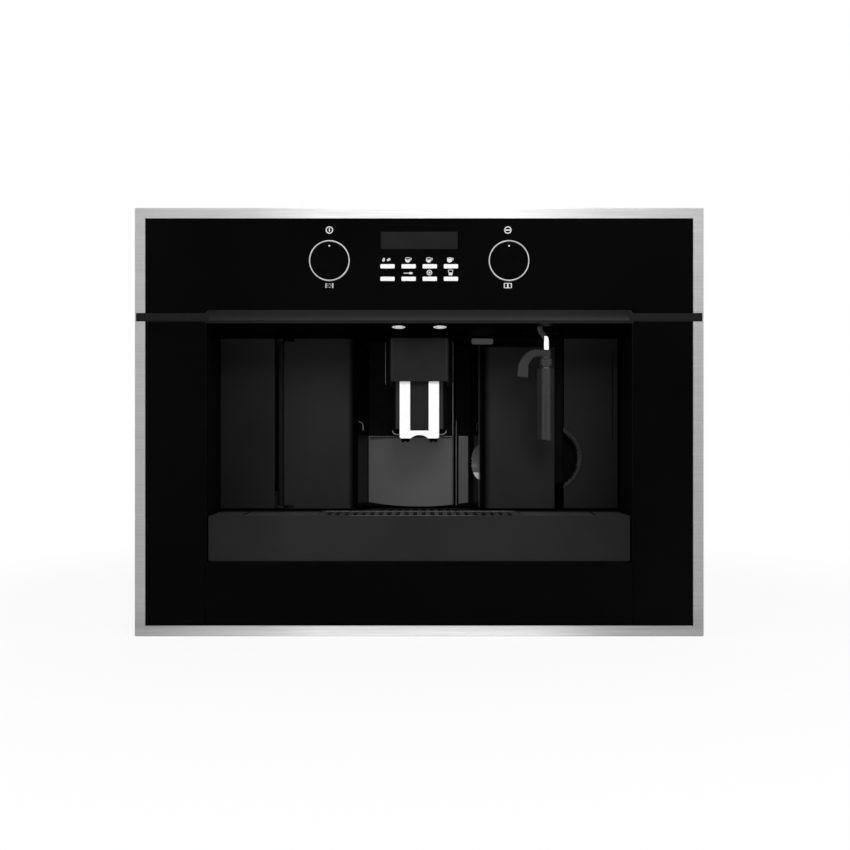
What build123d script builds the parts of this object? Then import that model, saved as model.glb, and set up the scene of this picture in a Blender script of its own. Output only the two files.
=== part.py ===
from build123d import *
import math
import os

os.makedirs("parts", exist_ok=True)

# A coffee machine that is built into a kitchen cabinet. Millimetres. X runs to the right, Y into the
# cabinet, Z up. Y = 0 is the plane where the steel front meets the cabinet, Z = 0 the lower edge of it.

# Front
front_width = 595.0
front_height = 448.0
front_depth = 20.0
frame_border = 11.0
frame_lip = 1.4
glass_thick = 4.0
glass_setback = 0.6
seam = 0.3
band_low = front_height - 118.9
band_high = front_height - 110.0
band_rise = 3.1
band_depth = 11.0
band_dish = 20.0

# Controls
knob_x = 93.9
knob_z = front_height - 55.2
knob_radius = 21.2
knob_gap = 0.6
knob_reach = 0.9
window_half = 40.1
window_low = front_height - 43.1
window_high = front_height - 24.9
button_pitch = 22.1
button_width = 15.0
button_height = 4.5
button_rows = (front_height - 61.2, front_height - 74.3)
button_gap = 0.35

# Cup niche and the panels at its back
niche_half = front_width / 2 - 74.7
niche_low = 76.6
niche_high = front_height - 118.4
niche_fall = 0.1557
niche_brow = niche_high - 2.3
liner_wall = 1.2
liner_lip = 2.1
panel_y = 55.0
panel_thick = 3.0
panel_low = 128.3
panel_high = niche_high - 12.8
back_wall = 2.5
left_panel_edge = niche_half - 61.5
inner_panel_edge = niche_half - 72.3
tank_panel_edge = niche_half - 62.4
bay_front_half = 68.6
bay_back_half = 58.2
bay_y = 95.0
bay_wall = 2.5
seam_x = 40.0
seam_gap = 3.0
hinge_x = 6.3 - left_panel_edge
hinge_y = 57.0
hinge_radius = 3.0
hinge_pin = 1.3

# Coffee spout
spout_box_half = 31.6
spout_box_low = niche_high - 61.8
spout_box_high = niche_high - 14.6
spout_box_front = 12.0
spout_wall = 1.5
column_low = niche_high - 120.1
column_front = 41.0
outlet_x = 15.2
outlet_low = niche_high - 126.5
outlet_radius = 4.3
spout_low = niche_high - 123.1
spout_high = spout_box_low + 2.2

# Finger scoop beside the bay, and the splash guard below the spout
scoop_y = 62.0
scoop_z = 179.0
scoop_reach = 30.0
scoop_half = 19.3
splash_y = 87.5
splash_edge_y = 92.0
splash_rise = 5.3

# Drip tray
tray_half = niche_half - 1.8
tray_low = 78.6
tray_high = 126.0
tray_front = -17.0
tray_back = 102.0
tray_wall = 2.5
grid_half = 108.0
grid_front = -12.0
grid_back = 52.0
grid_bay_half = 54.0
grid_bay_back = 84.0
grid_thick = 2.5

# Steam wand
wand_x = inner_panel_edge - 13.7
wand_root_x = wand_x - 6.8
wand_y = 20.0
socket_y = 23.5
socket_length = 45.0
ball_z = niche_high + 10.4
ball_radius = 9.0
wand_radius = 3.0
wand_low = niche_high - 126.6
sleeve_high = niche_high - 47.1
ring_high = niche_high - 36.3
collar_high = niche_high - 27.6

# Body
body_half = front_width / 2 - 32.5
body_low = 12.0
body_high = front_height - 13.0
body_depth = 391.2
sheet = 1.2
chassis_top = 70.0

# Bean hopper and the chute for ground coffee
hopper_x = -75.0
hopper_y = 205.0
hopper_width = 130.0
hopper_length = 150.0
hopper_floor = body_high - 55.0
chute_x = 12.0
chute_y = 185.0
dial_x = 62.0
dial_y = 250.0

# Water tank
tank_width = 56.0
tank_back = 345.0
tank_high = niche_high - 15.6
tank_wall = 2.0

# Runners
rail_x = body_half + 15.0
rail_z = 90.0
rail_half = 22.5
rail_wall = 1.2
rail_start = 6.0
rail_length = 380.0
rail_gap = 0.25

inner_half = front_width / 2 - frame_border
inner_low = frame_border
inner_high = front_height - frame_border
front_mid = front_height / 2
glass_y = glass_setback - front_depth
glass_back = glass_y + glass_thick
liner_half = niche_half + liner_wall
liner_back = panel_y + panel_thick + back_wall
wall_y = panel_y + panel_thick


def ceiling(y):
    return niche_high - niche_fall * (y + front_depth)


# Brushed steel front: one ring, with a groove across both uprights for the grip band
with BuildPart() as front_frame:
    with BuildSketch(Plane.XZ.offset(front_depth)):
        with Locations((0, front_mid)):
            Rectangle(front_width, front_height)
            Rectangle(2 * inner_half, inner_high - inner_low, mode=Mode.SUBTRACT)
    extrude(amount=-front_depth)
    fillet(front_frame.edges().filter_by(Axis.Y).sort_by_distance((0, 0, front_mid))[-4:], 1.2)
    fillet(front_frame.faces().sort_by(Axis.Y)[0].outer_wire().edges(), 0.7)
    with BuildSketch(Plane.XZ.offset(front_depth)):
        with Locations((0, (band_low + band_high) / 2)):
            Rectangle(front_width - 2 * frame_lip, band_high - band_low)
    extrude(amount=-band_depth, mode=Mode.SUBTRACT)

# Grip band: a bar across the front, proud and dished over the niche, with a brow that covers the liner's edge
band_y = -front_depth + 0.9
band_half = front_width / 2 - frame_lip - 0.1
band_top = band_high + band_rise
band_foot = niche_high + liner_lip + 0.1
dish_half = (band_top - niche_high - 0.6) / 2
dish_depth = band_dish - math.sqrt(band_dish**2 - dish_half**2)
with BuildPart() as handle_band:
    with BuildSketch(Plane.XZ.offset(-band_y)):
        with BuildLine():
            Polyline(
                (0, band_foot),
                (liner_half + 0.2, band_foot),
                (liner_half + 0.2, band_low + 0.1),
                (band_half, band_low + 0.1),
                (band_half, band_high - 0.1),
                (liner_half, band_high - 0.1),
                (liner_half, band_high),
                (liner_half - band_rise, band_top),
                (0, band_top),
            )
            mirror(about=Plane.YZ)
        make_face()
    extrude(amount=-(band_depth - 1.1))
    for foot, thick in ((niche_brow, 0.65), (band_foot, front_depth + band_y)):
        with BuildSketch(Plane.XZ.offset(front_depth)):
            with BuildLine():
                Polyline(
                    (0, foot),
                    (liner_half, foot),
                    (liner_half, band_high),
                    (liner_half - band_rise, band_top),
                    (0, band_top),
                )
                mirror(about=Plane.YZ)
            make_face()
        extrude(amount=-thick)
    with Locations((0, dish_depth - front_depth - band_dish, band_top - dish_half)):
        Cylinder(band_dish, 2 * liner_half - 8, rotation=(0, 90, 0), mode=Mode.SUBTRACT)

# Control glass with the openings for knobs, display and push bars
button_spots = [((i - 1.5) * button_pitch, z) for z in button_rows for i in range(4)]
with BuildPart() as control_glass:
    with BuildSketch(Plane.XZ.offset(-glass_y)):
        with Locations((0, (band_high + inner_high) / 2)):
            Rectangle(2 * inner_half - 2 * seam, inner_high - band_high - 2 * seam)
        with Locations((0, band_high)):
            Rectangle(2 * liner_half + 2 * seam, 2 * (band_rise + seam), mode=Mode.SUBTRACT)
        with Locations((-knob_x, knob_z), (knob_x, knob_z)):
            Circle(knob_radius + knob_gap, mode=Mode.SUBTRACT)
        with Locations((0, (window_low + window_high) / 2)):
            Rectangle(2 * window_half + 2 * seam, window_high - window_low + 2 * seam, mode=Mode.SUBTRACT)
        with Locations(*button_spots):
            RectangleRounded(
                button_width + 2 * button_gap,
                button_height + 2 * button_gap,
                1.0,
                mode=Mode.SUBTRACT,
            )
    extrude(amount=-glass_thick)

# Glass beside and below the niche
side_glass_width = inner_half - liner_half - 2 * seam
side_glass_x = (inner_half + liner_half) / 2
with BuildPart() as side_glass:
    with BuildSketch(Plane.XZ.offset(-glass_y)):
        with Locations((0, (inner_low + band_low) / 2)):
            with GridLocations(2 * side_glass_x, 1, 2, 1):
                Rectangle(side_glass_width, band_low - inner_low - 2 * seam)
    extrude(amount=-glass_thick)

liner_floor = niche_low - 2.0
with BuildPart() as lower_glass:
    with BuildSketch(Plane.XZ.offset(-glass_y)):
        with Locations((0, (inner_low + liner_floor) / 2)):
            Rectangle(2 * liner_half - seam, liner_floor - inner_low - 2 * seam)
    extrude(amount=-glass_thick)

# Moulded carrier behind the glass, hollow behind the controls
with BuildPart() as front_carrier:
    with BuildSketch(Plane.XZ.offset(-glass_back)):
        with Locations((0, front_mid)):
            Rectangle(2 * inner_half, inner_high - inner_low)
        with BuildLine():
            Polyline(
                (-liner_half, liner_floor),
                (liner_half, liner_floor),
                (liner_half, niche_high + liner_lip),
                (-liner_half, niche_high + liner_lip),
                close=True,
            )
        make_face(mode=Mode.SUBTRACT)
    extrude(amount=glass_back)
    with BuildSketch(Plane.XZ.offset(-glass_back)):
        with Locations((0, (band_low + band_high + band_rise) / 2)):
            Rectangle(2 * inner_half, band_high + band_rise - band_low)
    extrude(amount=-(band_depth - glass_thick - 0.6), mode=Mode.SUBTRACT)
    with BuildSketch(Plane.XZ.offset(12)):
        with Locations((0, niche_high)):
            Rectangle(70, 8, align=(Align.CENTER, Align.MIN))
    extrude(amount=-12, mode=Mode.SUBTRACT)
    with BuildSketch(Plane.XZ.offset(-glass_back)):
        with Locations((0, (band_high + inner_high) / 2 + 2)):
            RectangleRounded(2 * knob_x + 76, inner_high - band_high - 16, 5)
    extrude(amount=glass_back + 3, mode=Mode.SUBTRACT)

# Knobs: a dished cap with a raised rim, on a short shaft
knob_front = -front_depth - knob_reach
knobs = {}
for name, x in (("left_knob", -knob_x), ("right_knob", knob_x)):
    with BuildPart() as knob:
        with BuildSketch(Plane.XZ.offset(-knob_front)):
            with Locations((x, knob_z)):
                Circle(knob_radius)
        extrude(amount=-5.0)
        fillet(knob.edges().sort_by(Axis.Y)[0], 0.6)
        with BuildSketch(Plane.XZ.offset(-knob_front)):
            with Locations((x, knob_z)):
                Circle(knob_radius - 1.6)
        extrude(amount=-0.6, mode=Mode.SUBTRACT)
        with BuildSketch(Plane.XZ.offset(-knob_front - 5.0)):
            with Locations((x, knob_z)):
                Circle(3.0)
        extrude(amount=-5.5)
    knobs[name] = knob

# Push bars: a slim bar in the glass, held behind it by a wider foot
bar_front = glass_y - 0.6
bars = {}
for number, (x, z) in enumerate(button_spots, 1):
    with BuildPart() as bar:
        with BuildSketch(Plane.XZ.offset(-bar_front)):
            with Locations((x, z)):
                RectangleRounded(button_width, button_height, 0.9)
        extrude(amount=-(glass_back - bar_front + 0.5))
        fillet(bar.faces().sort_by(Axis.Y)[0].edges(), 0.4)
        with BuildSketch(Plane.XZ.offset(-glass_back - 0.25)):
            with Locations((x, z)):
                Rectangle(button_width + 3, button_height + 2.5)
        extrude(amount=-2.0)
    bars[f"button_{number}"] = bar

# Control board: switches behind the bars, encoders behind the knobs, four stand-offs
board_y = -7.6
with BuildPart() as control_board:
    with BuildSketch(Plane.XZ.offset(-board_y)):
        with Locations((0, knob_z + 2)):
            RectangleRounded(2 * knob_x + 44, 64, 3)
    extrude(amount=-1.6)
    with BuildSketch(Plane.XZ.offset(-board_y)):
        with Locations(*button_spots):
            Rectangle(6, 4)
    extrude(amount=3.0)
    with BuildSketch(Plane.XZ.offset(-board_y)):
        with Locations((-knob_x, knob_z), (knob_x, knob_z)):
            Circle(9)
            Circle(3.4, mode=Mode.SUBTRACT)
    extrude(amount=-knob_front - 5.2 + board_y)
    with BuildSketch(Plane.XZ.offset(-board_y - 1.6)):
        with Locations((0, knob_z + 2)):
            with GridLocations(2 * knob_x + 34, 54, 2, 2):
                Circle(3)
    extrude(amount=-3.0)

# Display behind the glass
with BuildPart() as display_window:
    with BuildSketch(Plane.XZ.offset(-glass_y - 0.1)):
        with Locations((0, (window_low + window_high) / 2)):
            RectangleRounded(2 * window_half, window_high - window_low, 0.6)
    extrude(amount=-(board_y - glass_y - 0.1))

# Niche liner: floor, sides, sloped ceiling, back wall with openings, well for the drip tray
well_back = tray_back + 6
with BuildPart() as niche_liner:
    with BuildSketch(Plane.YZ):
        with BuildLine():
            Polyline(
                (glass_y + 0.1, liner_floor),
                (liner_back, liner_floor),
                (liner_back, ceiling(liner_back) + liner_lip),
                (glass_y + 0.1, ceiling(glass_y + 0.1) + liner_lip),
                close=True,
            )
        make_face()
    extrude(amount=liner_half, both=True)
    with BuildSketch(Plane.YZ):
        with Locations(((liner_back + well_back) / 2, (liner_floor + tray_high) / 2)):
            Rectangle(well_back - liner_back, tray_high - liner_floor)
    extrude(amount=liner_half, both=True)
    with BuildSketch(Plane.YZ):
        with BuildLine():
            Polyline(
                (glass_y - 1, niche_low),
                (wall_y, niche_low),
                (wall_y, ceiling(wall_y)),
                (glass_y - 1, ceiling(glass_y - 1)),
                close=True,
            )
        make_face()
        with Locations(((wall_y + well_back - 2) / 2, niche_low + 40)):
            Rectangle(well_back - 2 - wall_y, 80)
    extrude(amount=niche_half, both=True, mode=Mode.SUBTRACT)
    with BuildSketch(Plane.XZ.offset(-wall_y)):
        with BuildLine():
            Polyline(
                (hinge_x - 4.5, panel_low - 0.3),
                (bay_front_half + 3, panel_low - 0.3),
                (bay_front_half + 3, panel_high + 0.2),
                (hinge_x - 4.5, panel_high + 0.2),
                close=True,
            )
        make_face()
        with BuildLine():
            Polyline(
                (tank_panel_edge - 1, panel_low - 0.3),
                (niche_half, panel_low - 0.3),
                (niche_half, panel_high + 0.2),
                (tank_panel_edge - 1, panel_high + 0.2),
                close=True,
            )
        make_face()
        with Locations((0, niche_low)):
            Rectangle(2 * niche_half, panel_low - 0.3 - niche_low, align=(Align.CENTER, Align.MIN))
    extrude(amount=-back_wall, mode=Mode.SUBTRACT)
    with BuildSketch(Plane.XY.offset(niche_high - 14)):
        with Locations((wand_root_x + 3, socket_y)):
            RectangleRounded(40, socket_length - 4, 6)
        with Locations((-22, 3), (22, 3)):
            Circle(8.6)
    extrude(amount=20, mode=Mode.SUBTRACT)

# Lamps: a rounded lens through the ceiling, below a collar that sits on it
slope = math.atan(niche_fall)
lamp_y = 3.0
lamp_normal = (0, -math.sin(slope), -math.cos(slope))
with BuildPart() as lamps:
    for x in (-22, 22):
        lamp_plane = Plane((x, lamp_y, ceiling(lamp_y) + liner_lip + 0.05), x_dir=(1, 0, 0), z_dir=lamp_normal)
        with BuildSketch(lamp_plane.offset(-3)):
            Circle(10)
        extrude(amount=3)
        with BuildSketch(lamp_plane):
            Circle(7.7)
        extrude(amount=liner_lip + 1)
    fillet(lamps.edges().filter_by(GeomType.CIRCLE).group_by(Axis.Z)[0], 0.9)

# Fixed panels at the back of the niche
with BuildPart() as left_outer_panel:
    with BuildSketch(Plane.XY.offset(panel_low)):
        with Locations((-(left_panel_edge + niche_half) / 2 + 0.4, panel_y + panel_thick / 2)):
            Rectangle(niche_half - left_panel_edge - 0.8, panel_thick)
    extrude(amount=panel_high - panel_low)
    fillet(left_outer_panel.edges().filter_by(Axis.Z).sort_by(Axis.Y)[:2], 1.2)

right_panel_high = niche_high - 22.1
with BuildPart() as right_inner_panel:
    with BuildSketch(Plane.XY.offset(panel_low)):
        with Locations(((bay_front_half + inner_panel_edge) / 2, panel_y + panel_thick / 2)):
            Rectangle(inner_panel_edge - bay_front_half, panel_thick)
    extrude(amount=right_panel_high - panel_low)
    fillet(right_inner_panel.edges().filter_by(Axis.Z).group_by(Axis.X)[0].sort_by(Axis.Y)[0], 2.6)
    fillet(right_inner_panel.edges().filter_by(Axis.Z).group_by(Axis.X)[-1].sort_by(Axis.Y)[0], 1.2)

# Catch bar above the right inner panel
with BuildPart() as door_catch:
    with BuildSketch(Plane.XZ.offset(-panel_y + 5)):
        with Locations((bay_front_half + 1, right_panel_high + 2.9)):
            RectangleRounded(24, 6.2, 1.5, align=(Align.CENTER, Align.MIN))
    extrude(amount=-8)

# Fixed right side of the bay with a half-round finger scoop in a thickened boss
with BuildPart() as bay_right:
    with BuildSketch(Plane.XY.offset(panel_low)):
        with BuildLine():
            Polyline(
                (bay_front_half, wall_y),
                (bay_back_half, bay_y),
                (seam_x + seam_gap / 2, bay_y),
                (seam_x + seam_gap / 2, bay_y + bay_wall),
                (bay_back_half + 2, bay_y + bay_wall),
                (bay_front_half + 2.6, wall_y + 1),
                (bay_front_half + 2.6, wall_y),
                close=True,
            )
        make_face()
    extrude(amount=right_panel_high + 2.7 - panel_low)
    with BuildSketch(Plane.XY.offset(scoop_z - scoop_half - 4)):
        with BuildLine():
            Polyline(
                (bay_front_half, wall_y + 3),
                (bay_back_half + 1, bay_y),
                (bay_front_half + 10, bay_y),
                (bay_front_half + 10, wall_y + 3),
                close=True,
            )
        make_face()
    extrude(amount=2 * scoop_half + 8)
    with BuildSketch(Plane.YZ.offset(bay_back_half - 4)):
        with Locations((scoop_y, scoop_z)):
            Ellipse(scoop_reach, scoop_half)
    extrude(amount=bay_front_half - bay_back_half + 11, mode=Mode.SUBTRACT)

# Splash guard, bowed towards the cups, its foot cut to an arc: a narrow fixed strip and a wide part on the door
splash_low = panel_low - 0.6
splash_high = column_low - 1.2
splash_left = -bay_back_half - 0.2
splash_right = bay_back_half - 2.8
guards = {}
for name, side in (("splash_fixed", 1), ("splash_door", -1)):
    with BuildPart() as guard:
        with BuildSketch(Plane.XY.offset(splash_low)):
            with BuildLine():
                ThreePointArc((splash_left, splash_edge_y), (0, splash_y), (splash_right, splash_edge_y))
                Polyline(
                    (splash_right, splash_edge_y),
                    (splash_right, bay_y),
                    (splash_left + 1.2, bay_y),
                    (splash_left, splash_edge_y),
                )
            make_face()
            with Locations((seam_x - side * (100 - seam_gap / 2), splash_edge_y)):
                Rectangle(200, 20, mode=Mode.SUBTRACT)
        extrude(amount=splash_high - splash_low)
        with BuildSketch(Plane.XZ.offset(1 - splash_y)):
            with BuildLine():
                ThreePointArc((-60, splash_low + splash_rise), (0, splash_low + 0.3), (60, splash_low + splash_rise))
                Polyline(
                    (60, splash_low + splash_rise),
                    (60, splash_low - 1),
                    (-60, splash_low - 1),
                    (-60, splash_low + splash_rise),
                )
            make_face()
        extrude(amount=-20, mode=Mode.SUBTRACT)
        fillet(guard.edges().group_by(Axis.Z)[-1].sort_by(Axis.Y)[0], 1.0)
    guards[name] = guard

# Service door: flat panel with hinge barrel, then the bay that steps back behind the spout
with BuildPart() as door_panel:
    with BuildSketch(Plane.XY.offset(panel_low)):
        with Locations((-(bay_front_half + inner_panel_edge) / 2, panel_y + panel_thick / 2)):
            Rectangle(inner_panel_edge - bay_front_half, panel_thick)
    extrude(amount=panel_high - panel_low)
    fillet(door_panel.edges().filter_by(Axis.Z).group_by(Axis.X)[-1].sort_by(Axis.Y)[0], 2.6)
    with BuildSketch(Plane.XZ.offset(-panel_y)):
        with Locations((-inner_panel_edge, panel_low), (-inner_panel_edge, panel_high)):
            Rectangle(22, 6.4)
    extrude(amount=-panel_thick, mode=Mode.SUBTRACT)
    with BuildSketch(Plane.XY.offset(panel_low + 3.2)):
        with Locations((hinge_x, hinge_y)):
            Circle(hinge_radius)
        with Locations(((hinge_x - inner_panel_edge) / 2, hinge_y)):
            Rectangle(abs(hinge_x) - inner_panel_edge, 2)
    extrude(amount=panel_high - panel_low - 6.4)
    for base in (panel_low + 3.2, panel_high - 3.2 - 11):
        with BuildSketch(Plane.XY.offset(base)):
            with Locations((hinge_x, hinge_y)):
                Circle(hinge_pin + 0.35)
        extrude(amount=11, mode=Mode.SUBTRACT)

with BuildPart() as door_bay:
    with BuildSketch(Plane.XY.offset(panel_low)):
        with BuildLine():
            Polyline(
                (-bay_front_half - 10, wall_y),
                (-bay_front_half, wall_y),
                (-bay_back_half, bay_y),
                (seam_x - seam_gap / 2, bay_y),
                (seam_x - seam_gap / 2, bay_y + bay_wall),
                (-bay_back_half - 2, bay_y + bay_wall),
                (-bay_front_half - 2.6, wall_y + bay_wall),
                (-bay_front_half - 10, wall_y + bay_wall),
                close=True,
            )
        make_face()
    extrude(amount=panel_high - panel_low)
    fillet(door_bay.edges().filter_by(Axis.Z).filter_by_position(Axis.X, -bay_back_half - 1, -bay_back_half + 1), 0.8)

# Hinge brackets: each wraps round behind the back wall and carries one pin
with BuildPart() as hinge_brackets:
    for base, step in ((panel_low + 0.4, 1), (panel_high - 0.4, -1)):
        with BuildSketch(Plane.XY.offset(base)):
            with Locations((hinge_x, wall_y)):
                RectangleRounded(7, 10, 1.5)
            with Locations((hinge_x - 4, liner_back + 0.8)):
                Rectangle(24, 1.6)
            with Locations((hinge_x, liner_back - 1)):
                Rectangle(7, 4)
        extrude(amount=step * 2.4)
        with BuildSketch(Plane.XY.offset(base)):
            with Locations((hinge_x - 4, liner_back + 0.8)):
                Rectangle(24, 1.6)
        extrude(amount=step * 18)
        with BuildSketch(Plane.XY.offset(base + step * 2.0)):
            with Locations((hinge_x, hinge_y)):
                Circle(hinge_pin)
        extrude(amount=step * 11)

# Spout housing: a hollow hood, open below, with a wider collar at the bay wall
with BuildPart() as spout_housing:
    with BuildSketch(Plane.XY.offset(spout_box_low)):
        with Locations((0, (spout_box_front + bay_y) / 2)):
            Rectangle(2 * spout_box_half, bay_y - spout_box_front)
        fillet(vertices().group_by(Axis.Y)[0], 4)
    extrude(amount=spout_box_high - spout_box_low)
    with BuildSketch(Plane.XZ.offset(-bay_y + 42)):
        with Locations((0, spout_box_high)):
            Rectangle(2 * spout_box_half + 11, spout_box_high - spout_box_low + 4, align=(Align.CENTER, Align.MAX))
        fillet(vertices().group_by(Axis.Y)[0], 5)
    extrude(amount=-42)
    fillet(spout_housing.faces().sort_by(Axis.Y)[0].edges().sort_by(Axis.Z)[-1], 2)
    with BuildSketch(Plane.XY.offset(spout_box_low - 8)):
        with Locations((0, (spout_box_front + spout_wall + bay_y) / 2)):
            Rectangle(2 * (spout_box_half - spout_wall), bay_y - spout_box_front - spout_wall)
        fillet(vertices().group_by(Axis.Y)[0], 2.5)
    extrude(amount=spout_box_high - spout_box_low + 8 - spout_wall, mode=Mode.SUBTRACT)

# Column behind the spout, slotted for the slide
column_half = spout_box_half - spout_wall - 0.2
with BuildPart() as spout_column:
    with BuildSketch(Plane.XZ.offset(-column_front)):
        with Locations((0, column_low)):
            Rectangle(2 * column_half, spout_box_high - spout_wall - 0.2 - column_low, align=(Align.CENTER, Align.MIN))
        fillet(vertices().group_by(Axis.Y)[0], 6)
    extrude(amount=-(bay_y - column_front))
    with BuildSketch(Plane.XY.offset(column_low + 14)):
        with Locations((0, column_front + 5)):
            Rectangle(12.6, 10)
        with Locations((0, column_front + 8)):
            Rectangle(22.6, 5)
    extrude(amount=spout_box_high - column_low, mode=Mode.SUBTRACT)

# Coffee spout: waisted body with side wings and two outlets, T-shaped slide at the back
with BuildPart() as spout_body:
    with BuildSketch(Plane.XY.offset(spout_low + 1)):
        with Locations((0, 18)):
            Rectangle(42, column_front - 0.3 - 18, align=(Align.CENTER, Align.MIN))
        fillet(vertices().group_by(Axis.Y)[0], 3)
    extrude(amount=spout_high - spout_low - 1)
    with BuildSketch(Plane.XY.offset(spout_low + 10)):
        with Locations((0, 27)):
            Rectangle(52.4, column_front - 0.3 - 27, align=(Align.CENTER, Align.MIN))
        fillet(vertices().group_by(Axis.Y)[0], 4)
    extrude(amount=spout_high - spout_low - 10)
    with BuildSketch(Plane.XY.offset(column_low + 14.3)):
        with Locations((0, column_front - 0.3)):
            Rectangle(12, 7.6, align=(Align.CENTER, Align.MIN))
        with Locations((0, column_front + 6)):
            Rectangle(22, 4, align=(Align.CENTER, Align.MIN))
    extrude(amount=spout_high - column_low - 14.3)
    with BuildSketch(Plane.XY.offset(outlet_low)):
        with Locations((-outlet_x, 26), (outlet_x, 26)):
            Circle(outlet_radius)
    extrude(amount=spout_low + 2 - outlet_low)
    with BuildSketch(Plane.XY.offset(outlet_low)):
        with Locations((-outlet_x, 26), (outlet_x, 26)):
            Circle(outlet_radius - 1.8)
    extrude(amount=20, mode=Mode.SUBTRACT)

# Bright trim on the spout: two legs joined by a bridge, arched between the outlets
with BuildPart() as spout_trim:
    with BuildSketch(Plane.XZ.offset(-15)):
        with Locations((0, spout_low)):
            Rectangle(42.4, spout_high - spout_low, align=(Align.CENTER, Align.MIN))
        fillet(vertices().group_by(Axis.Y)[0], 2)
        with BuildLine():
            Polyline((-10, spout_high + 1), (-10, spout_low + 8.4), (10, spout_low + 8.4), (10, spout_high + 1), close=True)
        make_face(mode=Mode.SUBTRACT)
        with BuildLine():
            ThreePointArc((-9.5, spout_low), (0, spout_low + 3.7), (9.5, spout_low))
            Line((9.5, spout_low), (-9.5, spout_low))
        make_face(mode=Mode.SUBTRACT)
    extrude(amount=-3)

# Drip tray: basin under the grid, hollow wings, flat front
tray_floor = tray_low - 1.8
with BuildPart() as drip_tray:
    with BuildSketch(Plane.XY.offset(tray_floor)):
        with Locations((0, tray_front + 3)):
            Rectangle(2 * tray_half - 4, tray_back - tray_front - 3, align=(Align.CENTER, Align.MIN))
        fillet(vertices().group_by(Axis.Y)[-1], 8)
    extrude(amount=tray_high - tray_floor - 0.3)
    with BuildSketch(Plane.XZ.offset(-tray_front)):
        with Locations((0, (tray_low + tray_high) / 2)):
            RectangleRounded(2 * tray_half, tray_high - tray_low, 1.5)
    extrude(amount=-4)
    with BuildSketch(Plane.XY.offset(tray_floor + tray_wall)) as basin:
        with Locations((0, grid_front)):
            Rectangle(2 * grid_half, grid_back - grid_front, align=(Align.CENTER, Align.MIN))
            Rectangle(2 * grid_bay_half, grid_bay_back - grid_front, align=(Align.CENTER, Align.MIN))
        fillet(basin.vertices(), 4)
        offset(amount=-3, mode=Mode.REPLACE)
    extrude(amount=tray_high, mode=Mode.SUBTRACT)
    with BuildSketch(Plane.XY.offset(tray_high - 0.6 - grid_thick)) as ledge:
        with Locations((0, grid_front)):
            Rectangle(2 * grid_half, grid_back - grid_front, align=(Align.CENTER, Align.MIN))
            Rectangle(2 * grid_bay_half, grid_bay_back - grid_front, align=(Align.CENTER, Align.MIN))
        fillet(ledge.vertices(), 4)
        offset(amount=0.5, mode=Mode.REPLACE)
    extrude(amount=10, mode=Mode.SUBTRACT)
    with BuildSketch(Plane.XY.offset(tray_floor - 1)):
        for side in (-1, 1):
            with Locations((side * (grid_half + tray_half) / 2, (tray_front + tray_back) / 2 + 1)):
                RectangleRounded(tray_half - grid_half - 10, 104, 4)
    extrude(amount=tray_high - tray_low - tray_wall, mode=Mode.SUBTRACT)
    with BuildSketch(Plane.XY.offset(tray_high - 2.2)):
        with Locations((-186, tray_front + 6), (186, tray_front + 6)):
            Rectangle(3, 90, align=(Align.CENTER, Align.MIN))
    extrude(amount=10, mode=Mode.SUBTRACT)

# Slotted steel grid for the cups, with a tongue that reaches into the bay
with BuildPart() as cup_grid:
    with BuildSketch(Plane.XY.offset(tray_high - 0.6 - grid_thick)) as plate:
        with Locations((0, grid_front)):
            Rectangle(2 * grid_half, grid_back - grid_front, align=(Align.CENTER, Align.MIN))
            Rectangle(2 * grid_bay_half, grid_bay_back - grid_front, align=(Align.CENTER, Align.MIN))
        fillet(plate.vertices(), 4)
        with Locations((0, (grid_front + grid_back) / 2)):
            with GridLocations(9.2, 1, 22, 1):
                Rectangle(4.6, grid_back - grid_front - 14, mode=Mode.SUBTRACT)
        with Locations((0, (grid_back + grid_bay_back) / 2)):
            with GridLocations(9.2, 1, 10, 1):
                Rectangle(4.6, grid_bay_back - grid_back - 10, mode=Mode.SUBTRACT)
    extrude(amount=grid_thick)

# Water tank: thick front with a bevelled half-round finger recess, hollow body, lid
tank_x = (tank_panel_edge + tray_half) / 2
with BuildPart() as tank_front:
    with BuildSketch(Plane.XZ.offset(-panel_y)):
        with Locations((tank_x, (panel_low + panel_high) / 2)):
            Rectangle(tray_half - 0.6 - tank_panel_edge, panel_high - panel_low)
    extrude(amount=-12)
    fillet(tank_front.edges().filter_by(Axis.Z).group_by(Axis.X)[-1].sort_by(Axis.Y)[0], 1.2)
    with BuildSketch(Plane.XZ.offset(-panel_y)):
        with Locations((tank_panel_edge - 15, 183.4)):
            Circle(29.3)
    extrude(amount=-10, mode=Mode.SUBTRACT)
    with BuildSketch(Plane.XZ.offset(-panel_y)):
        with Locations((tank_panel_edge - 15, 183.4)):
            Circle(34.3)
    extrude(amount=-5, taper=45, mode=Mode.SUBTRACT)

tank_low = tray_high + 4.0
with BuildPart() as water_tank:
    with BuildSketch(Plane.XY.offset(tank_low)):
        with Locations((tank_x, (panel_y + 12 + tank_back) / 2)):
            RectangleRounded(tank_width, tank_back - panel_y - 12, 5)
    extrude(amount=tank_high - tank_low - 2.5)
    offset(amount=-tank_wall, openings=water_tank.faces().sort_by(Axis.Z)[-1])

with BuildPart() as tank_lid:
    with BuildSketch(Plane.XY.offset(tank_high - 2.5)):
        with Locations((tank_x, (panel_y + 12 + tank_back) / 2)):
            RectangleRounded(tank_width, tank_back - panel_y - 12, 5)
            RectangleRounded(30, 50, 4, mode=Mode.SUBTRACT)
    extrude(amount=2.2)

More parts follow.
